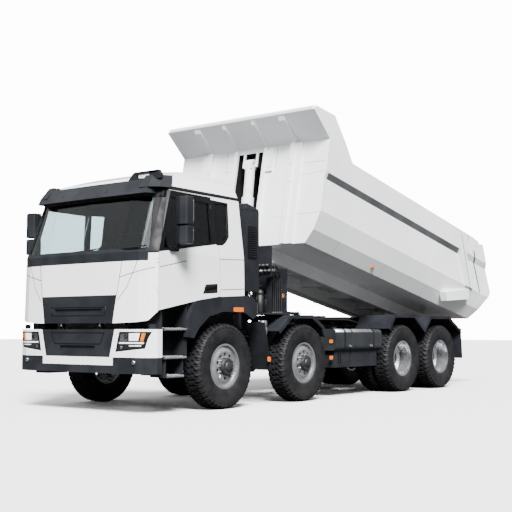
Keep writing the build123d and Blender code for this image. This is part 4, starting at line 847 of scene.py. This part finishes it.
FOG_LAMP = ((-1.4480, 0.0), (-1.4480, 0.024), (-1.4600, 0.028), (-1.4630, 0.024), (-1.4640, 0.0))
CORNER_LAMP = ((-1.4300, 0.0), (-1.4300, 0.026), (-1.4610, 0.026), (-1.4640, 0.019), (-1.4650, 0.0))


def projector(radius):
    return (-1.4480, 0.0), (-1.4480, radius), (-1.4620, radius), (-1.4610, radius * 0.75), (-1.4560, 0.0)


def headlamp(side, sign):
    for label, outline, lift, material in LAMP_PARTS:
        skin_patch(f"{label}_{side}", "headlamps", [(sign * x, z) for x, z in outline], "Y", lift, material,
                   *FRAME_LAMP)
    for label, material, parts in (
            ("fog_lamp", chrome, [(FOG_LAMP, 0.785, 0.822)]),
            ("projector", gloss_black, [(projector(0.034), 0.835, 0.948), (projector(0.026), 0.868, 0.948)]),
            ("corner_lamp", chrome, [(CORNER_LAMP, 1.004, 0.640)])):
        spun(f"{label}_{side}", [(profile, (sign * x, 0, z)) for profile, x, z in parts], 32, "Y", material,
             *FRAME_LAMP)


both_sides(headlamp)

# %% [markdown]
# ## Steps
# The treads are dark boxes with a bright tube along their outer edge and rows of raised grip studs on top.

# %% Step tubes and grip studs
STEP_ROWS = ((1.030, -1.150, -0.760), (0.680, -1.150, -0.760), (0.450, -1.100, -0.805))    # z, both ends in y
STUD_STEP_X = 0.038
STUD_STEP_Y = 0.035


def grip_studs(y0, y1):
    """A panel of raised studs, drawn from one stud by two row trees."""
    seed = bmesh.new()
    bmesh.ops.create_cone(seed, cap_ends=True, segments=10, radius1=0.008, radius2=0.005, depth=0.005)
    row = bmesh.new()
    absorb(row, repeated(seed, ROW, {"Count": 6, "Step": (STUD_STEP_X, 0.0, 0.0)}, bright_metal))
    return repeated(row, ROW, {"Count": int((y1 - y0) / STUD_STEP_Y), "Step": (0.0, STUD_STEP_Y, 0.0)}, bright_metal)


def steps(side, sign):
    for number, (z, y0, y1) in enumerate(STEP_ROWS, 1):
        tube(f"step_bar_{number}_{side}", [(sign * 1.228, y, z + 0.014) for y in (y0, y1)], 0.017, bright_metal,
             *CAB_TRIM, order=2)
        assembled(f"grip_studs_{number}_{side}", grip_studs(y0, y1), [(sign * 1.09 - 0.095, y0 + 0.02, z + 0.0322)],
                  bright_metal, *CAB_TRIM)


both_sides(steps)

# %% [markdown]
# ## Lamps and reflectors along the side
# Amber markers stand every few metres along a lorry. Each is a small lens with rounded corners.

# %% Side markers
MARKERS = (
    # label, body, centre (x, y, z), half length, half height
    ("arch_marker", "cab", (1.270, 0.236, 1.306), 0.100, 0.030),
    ("flap_marker", "chassis", (1.270, 0.905, 0.632), 0.030, 0.034),
)
TANK_MARKER_HALF = 0.028


def markers(side, sign):
    for label, body, (x, y, z), long, high in MARKERS:
        outline = rounded(rectangle(y - long, z - high, y + long, z + high), 0.012)
        prism(f"{label}_{side}", outline, "X", sign * (x - 0.004), sign * (x + 0.012), amber_lens, body, "tail_lamp",
              0.003)
    for number, z in enumerate((0.861, 0.613), 1):
        x, half = sign * 1.162, TANK_MARKER_HALF
        prism(f"tank_marker_{number}_{side}", rounded(rectangle(x - half, z - half, x + half, z + half), 0.010), "Y",
              2.622, 2.606, amber_lens, "chassis", "tail_lamp", 0.003)
    prism(f"bed_marker_{side}", rounded(rectangle(-3.228, 0.200, -3.152, 0.244), 0.010), "X", sign * 1.262,
          sign * 1.300, amber_lens, "bed", "tail_lamp", 0.003, on_bed)


both_sides(markers)

# %% [markdown]
# ## Wipers
# Two long arms sweep from pivots in the black cowl. Each blade lies along the bottom edge of the windscreen.

# %% Wipers
BLADE_HALF = 0.36

for number, (pivot, tip) in enumerate(((-0.62, 0.22), (0.28, 1.02)), 1):
    tube(f"wiper_arm_{number}", [(pivot, -1.425, 1.965), (pivot * 0.6 + tip * 0.4, -1.440, 2.000),
                                 (tip, -1.410, 2.050)], 0.009, gloss_black, *CAB_TRIM)
    tube(f"wiper_blade_{number}", [(tip - BLADE_HALF, -1.432, 2.036), (tip, -1.418, 2.060),
                                   (tip + BLADE_HALF * 0.35, -1.405, 2.066)], 0.008, rubber, *CAB_TRIM)

# %% [markdown]
# ## Inside the cab
# Through the glass the cab shows a dark lining, two seats and the panel. The lining is the inner half of the shell's
# own faces, lifted inwards. Each seat is a foam cushion and back with sewn channels, on a plastic base.

# %% Cab lining
CAB_MIDDLE = at(0.0, -0.45, 2.05)
LINING_FOOT = 1.2


def lining(name, node, body):
    """The faces of a shell that look at the middle of the cab, as a thin dark skin."""
    work = shell_of(node)
    away = [f for f in work.faces if f.normal.dot(CAB_MIDDLE - f.calc_center_median()) < 0.30]
    bmesh.ops.delete(work, geom=away, context="FACES")
    low = [f for f in work.faces if f.calc_center_median().z < LINING_FOOT]
    bmesh.ops.delete(work, geom=low, context="FACES")
    for vert in work.verts:
        vert.co += vert.normal * 0.003
    bmesh.ops.solidify(work, geom=work.faces[:], thickness=0.001)
    keep(name, mesh_of(work, name), dash_plastic, body)


lining("cab_lining", "cab_shell", "cab")
for side, sign in SIDES:
    lining(f"door_lining_{side}", f"door_{side}", f"door_{side}")

# %% Seats
SEAT_X = 0.570
SEAT_BASE = [(-0.520, 1.46), (-0.020, 1.53), (-0.050, 1.700), (-0.500, 1.700)]
SEAT_PADS = (
    # label, place (y, z), width, depth and thickness, lean, sewn channels across the pad
    ("seat_cushion", (-0.300, 1.775), (0.500, 0.560, 0.150), 0.02, (-0.45, 0.0, 0.45)),
    ("seat_back", (0.095, 2.120), (0.480, 0.640, 0.130), math.radians(102), (-0.5, 0.0, 0.5)),
    ("head_rest", (0.185, 2.520), (0.280, 0.170, 0.100), math.radians(100), (0.0,)),
)


def cushion(name, centre, size, lean, channels):
    """A crowned pad: a rounded box whose faces swell between sewn channels."""
    work = bmesh.new()
    bmesh.ops.create_cube(work, size=1.0)
    bmesh.ops.subdivide_edges(work, edges=work.edges[:], cuts=15, use_grid_fill=True)
    wide, deep, thick = size
    for vert in work.verts:
        u, v, w = (2 * part for part in vert.co)
        edge = (1 - abs(u) ** 4) * (1 - abs(v) ** 4)
        crown = 0.55 + 0.45 * edge
        groove = max(math.exp(-((v - place) / 0.055) ** 2) for place in channels) if w > 0.9 else 0.0
        pinch = 1 - 0.05 * (u * u * v * v)
        vert.co = (u * wide / 2 * pinch, v * deep / 2 * pinch, w * thick / 2 * (crown - 0.12 * groove * edge))
    bmesh.ops.rotate(work, verts=work.verts, cent=(0, 0, 0), matrix=Matrix.Rotation(lean, 3, "X"))
    bmesh.ops.translate(work, verts=work.verts, vec=at(*centre))
    mesh = mesh_of(work, name)
    for polygon in mesh.polygons:
        polygon.use_smooth = True
    keep(name, mesh, dark_fabric, "cab")


for side, sign in SIDES:
    base = prism(f"seat_base_{side}", rounded(SEAT_BASE, 0.03), "X", sign * 0.36, sign * 0.78, dash_plastic, "cab",
                 "seat", 0.008)
    if side == "left":
        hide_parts("seats")
    for label, place, size, lean, channels in SEAT_PADS:
        cushion(f"{label}_{side}", (sign * SEAT_X, *place), size, lean, channels)

# %% [markdown]
# ## Mirrors
# Each side carries a tall mirror above a wide-angle one, in rounded shells on one stem. The glass faces back.

# %% Mirror shells and glass
mirror_glass = finish("mirror_glass", (0.62, 0.66, 0.70), (0.70, 0.73, 0.76), 2.0, (0.03, 0.05), metal=1.0)
MIRROR_STEM = ((1.262, 2.050), (1.330, 2.040), (1.352, 2.100), (1.352, 2.640))
MIRROR_PLAN = ((1.350, -1.090), (1.440, -1.116), (1.536, -1.085), (1.546, -0.965), (1.344, -0.955))
GLASS_X = 1.445
GLASS_HALF = 0.082
GLASS_EDGE = 0.024


def mirrors(side, sign):
    door = f"door_{side}"
    stem = tube(f"mirror_stem_{side}", [(sign * x, -1.030, z) for x, z in MIRROR_STEM], 0.016, gloss_black, door,
                "trim")
    prism(f"mirror_foot_{side}", rounded(rectangle(-1.105, 2.010, -0.955, 2.070), 0.02), "X", sign * 1.249,
          sign * 1.290, gloss_black, door, "trim", 0.010)
    for label, low, high in (("tall_mirror", 2.332, 2.676), ("wide_mirror", 2.094, 2.308)):
        prism(f"{label}_{side}", rounded([(sign * x, y) for x, y in MIRROR_PLAN], 0.030), "Z", low, high, plastic, door,
              "trim", 0.016)
        pane = rectangle(sign * GLASS_X - GLASS_HALF, low + GLASS_EDGE, sign * GLASS_X + GLASS_HALF, high - GLASS_EDGE)
        prism(f"{label}_glass_{side}", rounded(pane, 0.03), "Y", -0.962, -0.9505, mirror_glass, door, "glass", 0.002)
    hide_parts(f"door_{side}_mirror")


both_sides(mirrors)

# %% [markdown]
# ## Trim on the nose and doors
# The visor's two small slots are dark patches of painted shade, the grille panels carry raised frames, and each door
# has a pull handle in a dish of painted shade.

# %% Visor slots, grille frames, door handles
FRAMES = (
    # label, node, body, right-hand corners in (x, z)
    ("upper_frame", "cab_trim", "cab", (0.490, 1.220), (0.520, 1.325)),
    ("lower_frame", "bumper_trim", "chassis", (0.430, 0.860), (0.500, 1.000)),
)
VISOR_FINS = (
    [(0.620, 3.006), (0.660, 3.045), (1.080, 3.045), (1.060, 3.006)],
    [(0.930, 2.930), (0.930, 3.045), (1.095, 3.045), (1.135, 2.990), (1.125, 2.930)],
    [(0.540, 2.930), (0.625, 3.020), (0.700, 3.020), (0.700, 2.930)],
)

for label, node, body, low, high in FRAMES:
    corners = [(-low[0], low[1]), low, high, (-high[0], high[1])]
    for number in range(4):
        seam_strip(f"{label}_{number}", node, corners[number], corners[(number + 1) % 4], "Y", body, "trim", 0,
                   wide=0.016)
work = bmesh.new()
for outline in VISOR_FINS:
    add_prism(work, outline, "Y", -1.136, -1.088)
finished("visor_fin", work, plastic, *CAB_TRIM, 0.006)
# A dark panel fills the gap between the nose and the bumper: painted shade for the dark space behind it.
for side, sign in SIDES:
    prism(f"nose_gap_shade_panel_{side}", box_beside(sign, 1.120, 1.050, 1.232, 1.110), "Y", -1.312, -1.304, plastic,
          *CAB_TRIM, 0.001)
# Each visor slot is a flat dark patch of painted shade on the visor's face.
for number, x in enumerate((-0.55, 0.30), 1):
    skin_patch(f"visor_slot_{number}", "visor", [(x - 0.02, 2.800), (x + 0.02, 2.800), (x + 0.03, 2.862),
                                                 (x + 0.01, 2.862)], "Y", 0.001, black_trim_and_recess_shade, *CAB_TRIM)
HANDLE_DISH = [(-0.462, 1.500), (-0.172, 1.518), (-0.172, 1.640), (-0.405, 1.622)]
HANDLE_GRIP = [(-0.440, 1.590), (-0.200, 1.628), (-0.200, 1.598), (-0.420, 1.560)]


def handle(side, sign):
    door = f"door_{side}"
    # The dish is a flat dark patch of painted shade round the grip.
    skin_patch(f"handle_dish_{side}", door, HANDLE_DISH, "X", HAIR, black_trim_and_recess_shade, door, "trim", sign)
    prism(f"door_handle_{side}", rounded(HANDLE_GRIP, 0.012), "X", sign * 1.252, sign * 1.272, gloss_black, door,
          "trim", 0.006)


both_sides(handle)

# %% [markdown]
# ## The bed: seams, groove and recess
# Sheets are welded edge to edge, so thin seams cross the front wall and the panels. Painted shade darkens the step
# under the top rail and the rear post's grooves, and the hoist's recess is lined with black painted shade.

# %% Bed seams and dark strips
# Painted shade: a dark grey laid on the step under the top rail and in the grooves of the rear post, where shade falls.
groove_shade_grey = finish("painted_groove_shade_grey", (0.070, 0.073, 0.078), (0.100, 0.103, 0.108), 2.0, (0.40, 0.55), 0.15, 220.0)
seam_grey = finish("weld_seam_grey", (0.20, 0.21, 0.22), (0.30, 0.31, 0.32), 30.0, (0.5, 0.6))
WALL_SEAMS = (
    ((1.005, 1.395), (1.425, 1.400)), ((1.005, 1.215), (1.460, 1.235)), ((1.005, 0.590), (1.430, 0.600)),
    ((0.525, 0.560), (0.785, 0.575)), ((0.500, 1.735), (0.500, 1.400)), ((0.785, 1.395), (0.875, 1.395)),
    ((0.785, 1.105), (0.875, 1.100)), ((0.325, 1.400), (0.500, 1.400)),
)
SIDE_SHADE_STRIPS = (
    ("rail_strip", [(-4.975, 1.134), (-0.600, 1.134), (-0.600, 1.222), (-4.975, 1.222)]),
    ("post_recess", [(-0.060, 1.328), (0.000, 1.330), (0.405, 0.640), (0.366, 0.632)]),
)
POST_LINES = (("post_edge", (-0.569, 1.500), (-0.030, 0.560), 0.022),
              ("post_slot", (-0.330, 1.560), (-0.270, 1.450), 0.014))


def bed_lines(side, sign):
    for number, ends in enumerate(WALL_SEAMS, 1):
        seam_strip(f"wall_seam_{number}_{side}", "bed_front_wall", *[(sign * x, z) for x, z in ends], "Y", *BED, 0,
                   seam_grey, 0.007, on_bed)
    for label, outline in SIDE_SHADE_STRIPS:
        skin_patch(f"{label}_{side}", "bed_sides", outline, "X", HAIR, groove_shade_grey, *BED, sign, place=on_bed)
    for label, start, end, wide in POST_LINES:
        seam_strip(f"{label}_{side}", "bed_sides", start, end, "X", *BED, sign, groove_shade_grey, wide, on_bed)
    for number, y in enumerate((-4.30, -2.90, -1.50), 1):
        seam_strip(f"chine_seam_{number}_{side}", "bed_floor", (y, 0.140), (y, 0.330), "X", *BED, sign, seam_grey,
                   0.006, on_bed)


both_sides(bed_lines)

# %% Hoist recess
# The recess lining is painted shade: a black skin on the recess's back, sides and roof, where shade falls.
RECESS_SIDE = [(-5.0098, 0.135), (-4.260, 0.135), (-4.600, 1.672), (-5.0098, 1.672)]
RECESS_WALLS = {"back": (0, -1, 0), "left": (-1, 0, 0), "right": (1, 0, 0), "roof": (0, 0, -1)}    # where each looks
RECESS_HALF = 0.2602

for label, look in RECESS_WALLS.items():
    skin_patch(f"recess_{label}", "bed_front_wall", RECESS_SIDE, "X", HAIR, black_trim_and_recess_shade, *BED, place=on_bed,
               facing=look, also=(((RECESS_HALF, 0, 0), (1, 0, 0)), ((-RECESS_HALF, 0, 0), (-1, 0, 0))))

# %% [markdown]
# ## Along the chassis
# Straps hold the tanks, with latches and sheet seams beside them. Pipes run back along both rails from behind the
# cab, on clips that stand on arms.

# %% Tank straps, seams and latches
tank_top_metal = finish("tank_top_metal", (0.38, 0.39, 0.41), (0.48, 0.49, 0.51), 5.0, (0.30, 0.42), 0.1, 200.0,
                        metal=0.8)
FILLER_CAP = ((0.0, 0.0), (0.0, 0.050), (0.012, 0.050), (0.012, 0.040), (0.030, 0.040), (0.034, 0.030), (0.034, 0.0))
BAND = 0.001


def hoop(name, y0, y1, material, sign):
    """A band round the tank's rounded section."""
    outer = rounded(rectangle(0.597, 0.717, 1.248, 1.053), 0.073, 6)
    inner = rounded([(0.600 + BAND, 0.720 + BAND), (1.245 - BAND, 0.720 + BAND), (1.245 - BAND, 1.050 - BAND),
                     (0.600 + BAND, 1.050 - BAND)], 0.070, 6)
    work = bmesh.new()
    rings = [[work.verts.new(at(sign * u, y, v)) for u, v in outline] for outline in (outer, inner) for y in (y0, y1)]
    count = len(outer)
    for a, b in ((0, 1), (1, 3), (3, 2), (2, 0)):
        for i in range(count):
            j = (i + 1) % count
            work.faces.new((rings[a][i], rings[a][j], rings[b][j], rings[b][i]))
    finished(name, work, material, *FRAME_TANK)


def tank_fittings(side, sign):
    for number, y in enumerate((2.860, 3.060, 3.700), 1):
        hoop(f"tank_strap_{number}_{side}", y, y + 0.040, tank_grey if number == 2 else chassis_black, sign)
    skin_patch(f"tank_top_{side}", "tanks", rectangle(2.640, 1.000, 3.690, 1.060), "X", 0.0025, tank_top_metal,
               *FRAME_TANK, sign, also=(((sign * 0.9, 0, 0), (-sign, 0, 0)),))
    for label, ys, half, low, high, corner, x0, x1, material, ease in (
            ("tank_latch", (3.030, 3.640), 0.030, 0.770, 0.800, 0.008, 1.244, 1.256, bright_metal, 0.003),
            ("box_vent", (2.780, 2.840), 0.014, 0.520, 0.680, 0.008, 1.178, 1.184, gloss_black, 0.002),
            ("box_seam", (3.100, 3.660), 0.003, 0.470, 0.712, 0.0, 1.1795, 1.1815, gloss_black, 0.0)):
        for number, y in enumerate(ys, 1):
            outline = rectangle(y - half, low, y + half, high)
            prism(f"{label}_{number}_{side}", rounded(outline, corner) if corner else outline, "X", sign * x0,
                  sign * x1, material, *FRAME_TANK, ease)
    spun(f"filler_cap_{side}", [(FILLER_CAP, (sign * 1.120, 2.760, 1.0502))], 32, "Z", gloss_black, *FRAME_TANK)


both_sides(tank_fittings)

# %% Canister, pipes and clips
CANISTER = ((0.0, 0.0), (0.0, 0.050), (0.015, 0.062), (0.115, 0.064), (0.120, 0.058), (0.125, 0.064), (0.200, 0.062),
            (0.215, 0.050), (0.215, 0.0))
RAIL_PIPES = ((0.540, 1.215, cast_iron), (0.580, 1.225, chassis_black), (0.620, 1.205, cast_iron))
PIPE_RUN = ((1.480, 0), (2.200, 0.01), (3.300, 0), (4.150, 0), (4.300, -0.09))    # stations along the rail, rise
CLIP_PLACES = (1.62, 2.45, 3.25, 4.05)
# Each arm leaves the rail low and rises outside the body's runners, which come down past it when the body is level.
CLIP_ARM = ((0.4406, 1.055), (0.4406, 1.085), (0.496, 1.105), (0.504, 1.236), (0.512, 1.236), (0.512, 1.095),
            (0.500, 1.078))


def chassis_fittings(side, sign):
    prism(f"canister_arm_{side}", box_beside(sign, 0.441, 0.930, 1.070, 0.955), "Y", 1.020, 1.060, chassis_black,
          *FRAME)
    spun(f"air_dryer_{side}", [(CANISTER, (sign * 1.060, 1.040, 0.9552))], 40, "Z", worn_steel, *FRAME_TANK)
    for number, (x, z, material) in enumerate(RAIL_PIPES, 1):
        line = [(sign * x, y, z + rise) for y, rise in PIPE_RUN]
        tube(f"rail_pipe_{number}_{side}", line, 0.013, material, *FRAME)
    for number, y in enumerate(CLIP_PLACES, 1):
        a, b = sorted((sign * 0.505, sign * 0.640))
        prism(f"pipe_clip_{number}_{side}", [(a, 1.236), (a, 1.244), (b, 1.244), (b, 1.236)], "Y", y, y + 0.030,
              bright_metal, *FRAME, 0.001)
        prism(f"clip_arm_{number}_{side}", [(sign * x, z) for x, z in CLIP_ARM], "Y", y, y + 0.030, chassis_black,
              *FRAME, 0.001)


both_sides(chassis_fittings)

# %% [markdown]
# ## Valves and hoses behind the cab
# A shelf on the left rail carries the tipping valves. A leg holds the plate with the couplings, two posts and three
# filters stand behind it, and hoses bend down from the couplings to nuts on the shelf.

# %% Shelf, posts and plate
SHELF_TOP = 1.277
VALVE_BOXES = {
    "valve_shelf": (0.601, 0.960, 1.2525, 1.130, 1.600, SHELF_TOP),
    "shelf_flange": (0.664, 1.585, 1.110, 0.940, 1.600, 1.2525),
    "valve_shelf_leg": (0.602, 1.340, 1.052, 0.662, 1.400, 1.257),
    "hose_post_front": (0.900, 1.330, SHELF_TOP, 0.990, 1.345, 1.800),
    "hose_post_rear": (1.040, 1.500, SHELF_TOP, 1.125, 1.515, 1.690),
    "coupling_plate": (0.700, 1.210, 1.800, 1.085, 1.225, 2.240),
    "splash_panel": (0.500, 1.560, SHELF_TOP, 1.100, 1.572, 1.930),
    "plate_leg": (0.720, 1.212, SHELF_TOP, 0.780, 1.226, 1.800),
    "valve_body": (0.700, 1.050, SHELF_TOP, 0.860, 1.180, 1.420),
}
FILTERS = ((0.790, 1.320, 0.052, 1.620), (0.800, 1.470, 0.043, 1.560), (0.670, 1.470, 0.052, 1.700))
FILTER_SHAPE = ((0.75, 1), (0.77, 0.85), (0.80, 1.06), (0.93, 1.06), (1, 0.5), (1, 0.0))    # shares of height, radius

for name, (x0, y0, z0, x1, y1, z1) in VALVE_BOXES.items():
    prism(name, rounded(rectangle(x0, z0, x1, z1), 0.008), "Y", y0, y1, worn_steel if name == "valve_body" else plastic,
          *FRAME, 0.003)
for number, (x, y, radius, top) in enumerate(FILTERS, 1):
    foot = SHELF_TOP + 0.0002
    profile = [(0.0, 0.0), (0.0, radius * 0.7), (0.02, radius)]
    profile += [((top - foot) * up, radius * share) for up, share in FILTER_SHAPE]
    spun(f"oil_filter_{number}", [(profile, (x, y, foot))], 32, "Z", cast_iron, *FRAME_TANK)

# %% Couplings, hoses and tags
COUPLING = ((0.0, 0.0), (0.0, 0.034), (0.018, 0.034), (0.020, 0.024), (0.045, 0.024), (0.047, 0.031), (0.075, 0.031),
            (0.080, 0.018), (0.090, 0.018), (0.090, 0.0))
BACK_NUT = ((0.0, 0.0), (0.0, 0.026), (-0.030, 0.026), (-0.034, 0.016), (-0.060, 0.016), (-0.060, 0.0))
FOOT_NUT = ((0.0, 0.0), (0.0, 0.017), (0.020, 0.017), (0.022, 0.015), (0.030, 0.015), (0.030, 0.0))
HOSE_R = 0.012
HOSE_START = 1.3150
HOSE_STRAIGHT = 0.045
HOSE_BEND = 0.110
HOSE_FOOT = 1.299
HOSE_BOW = 0.010
HOSE_ENDS = ((0.880, 1.960), (0.916, 1.880), (0.952, 1.960), (0.988, 1.880), (1.024, 1.960), (1.060, 1.880))


def hose(name, x, z):
    """A rubber hose: straight out of its coupling, round one bend, and down into its nut on the shelf."""
    turn_y = HOSE_START + HOSE_STRAIGHT
    line = [(x, HOSE_START, z), (x, turn_y, z)]
    for step in range(1, 11):
        angle = math.radians(9 * step)
        line.append((x, turn_y + HOSE_BEND * math.sin(angle), z - HOSE_BEND * (1 - math.cos(angle))))
    top = line[-1]
    for step in range(1, 13):
        down = step / 12
        line.append((x, top[1] + HOSE_BOW * math.sin(math.pi * down), top[2] + (HOSE_FOOT - top[2]) * down))
    body = tube(name, line, HOSE_R, rubber, *FRAME_TANK, order=2)
    spun(name + "_nut", [(FOOT_NUT, (x, top[1], 1.2702))], 20, "Z", cast_iron, *FRAME_TANK)


for number, (x, z) in enumerate(HOSE_ENDS, 1):
    spun(f"hose_coupling_{number}", [(COUPLING, (x, 1.2255, z)), (BACK_NUT, (x, 1.2095, z))], 24, "Y",
         worn_steel if number == 2 else cast_iron, *FRAME_TANK)
    hose(f"rear_hose_{number}", x, z)
for name, x0, x1, material in (("hose_tag", 1.048, 1.084, amber_lens), ("hose_tag_white", 1.092, 1.108, bright_metal)):
    prism(name, rounded(rectangle(x0, 1.500, x1, 1.560), 0.005), "Y", 1.4970, 1.4998, material, *FRAME_TANK, 0.001)

# %% Return pipe, oil pipes and filler
RETURN_CAP = ((0.0, 0.0), (0.0, 0.030), (0.030, 0.030), (0.034, 0.024), (0.050, 0.020), (0.050, 0.0))
OIL_FILLER = ((0.0, 0.0), (0.0, 0.060), (0.02, 0.060), (0.02, 0.048), (0.045, 0.044), (0.045, 0.0))

tube("return_pipe", [(0.900, 1.545, 1.302), (0.960, 1.640, 1.290), (1.010, 1.760, 1.281), (1.010, 1.960, 1.281)], 0.024,
     chassis_black, *FRAME_TANK)
spun("return_pipe_cap", [(RETURN_CAP, (1.010, 1.960, 1.285))], 24, "Y", lamp_glow, *FRAME_TANK)
for number, y in enumerate((1.150, 1.110, 1.070), 1):
    x = 0.740 + 0.03 * number
    tube(f"oil_pipe_{number}", [(x, y, 1.410), (x, y, 1.520), (0.680, y + 0.01, 1.680), (0.602, y + 0.01, 1.720)],
         0.012, worn_steel, *FRAME_TANK)
spun("oil_filler", [(OIL_FILLER, (0.350, 1.140, 1.9502))], 32, "Z", gloss_black, *FRAME_TANK)

# %% [markdown]
# ## The duct, the tail and the axles
# The duct breathes through two sets of louvres. At the back each lamp unit has its stop, tail and turn lenses, and a
# blank plate hangs between them. Brake chambers sit on the drive axles.

# %% Duct louvres


def louvres(label, outline, axis, ends, count, step, place):
    """A column of slats, repeated from one slat by the row tree."""
    slat = bmesh.new()
    add_prism(slat, outline, axis, *ends, lambda x, y, z: Vector((x, y, z)))
    slats = repeated(slat, ROW, {"Count": count, "Step": (0.0, 0.0, step)}, plastic)
    assembled(f"duct_louvres_{label}", slats, [place], plastic, *FRAME_TANK)


louvres("front", [(0.905, 0.000), (0.905, 0.016), (0.899, 0.016), (0.896, 0.000)], "X", (0.0, 0.180), 12, 0.034,
        (0.870, -0.308, 2.050))
prism("duct_panel_side", rounded(rectangle(0.650, 2.020, 0.850, 2.480), 0.02), "X", 1.1002, 1.106, gloss_black,
      *FRAME_TANK, 0.002)
louvres("side", [(1.106, 0.000), (1.106, 0.012), (1.114, 0.006)], "Y", (0.670, 0.830), 13, 0.032, (0.0, 0.0, 2.050))
prism("duct_cap", [(0.602, 2.7002), (0.602, 2.790), (0.640, 2.800), (0.898, 2.730), (0.898, 2.7002)], "X", 0.822, 1.098,
      plastic, *FRAME_TANK, 0.010)
tube("duct_top_bead", [(0.830, 0.612, 2.690), (1.088, 0.612, 2.690), (1.088, 0.888, 2.690), (0.830, 0.888, 2.690)],
     0.010, gloss_black, *FRAME_TANK, order=2)

# %% Tail lamps and plate
LAMP_Y = 6.935
TAIL_LENSES = (("turn_lens", 1.140, 1.190, amber_lens), ("stop_lens", 1.075, 1.130, red_lens),
               ("tail_lens", 1.010, 1.065, red_lens))


def tail_lamps(side, sign):
    for label, x0, x1, material in TAIL_LENSES:
        prism(f"{label}_{side}", rounded(box_beside(sign, x0, 0.982, x1, 1.058), 0.010), "Y", LAMP_Y, LAMP_Y + 0.006,
              material, "chassis", "tail_lamp", 0.003)


both_sides(tail_lamps)
prism("blank_plate", rounded(rectangle(-0.260, 0.965, 0.260, 1.035), 0.008), "Y", 6.8903, 6.894, lamp_glow, *FRAME,
      0.001)

# %% Brake chambers
CHAMBER = ((0.0, 0.0), (0.0, 0.050), (0.012, 0.082), (0.060, 0.086), (0.066, 0.092), (0.072, 0.086), (0.130, 0.080),
           (0.150, 0.050), (0.150, 0.0))


def brake_chambers(side, sign):
    for number, axle in enumerate(AXLES[2:], 3):
        spun(f"brake_chamber_{number}_{side}", [(CHAMBER, (sign * 0.330, axle + 0.090, HUB_Z + 0.020))], 32, "Y",
             cast_iron, "chassis", "axle")


both_sides(brake_chambers)
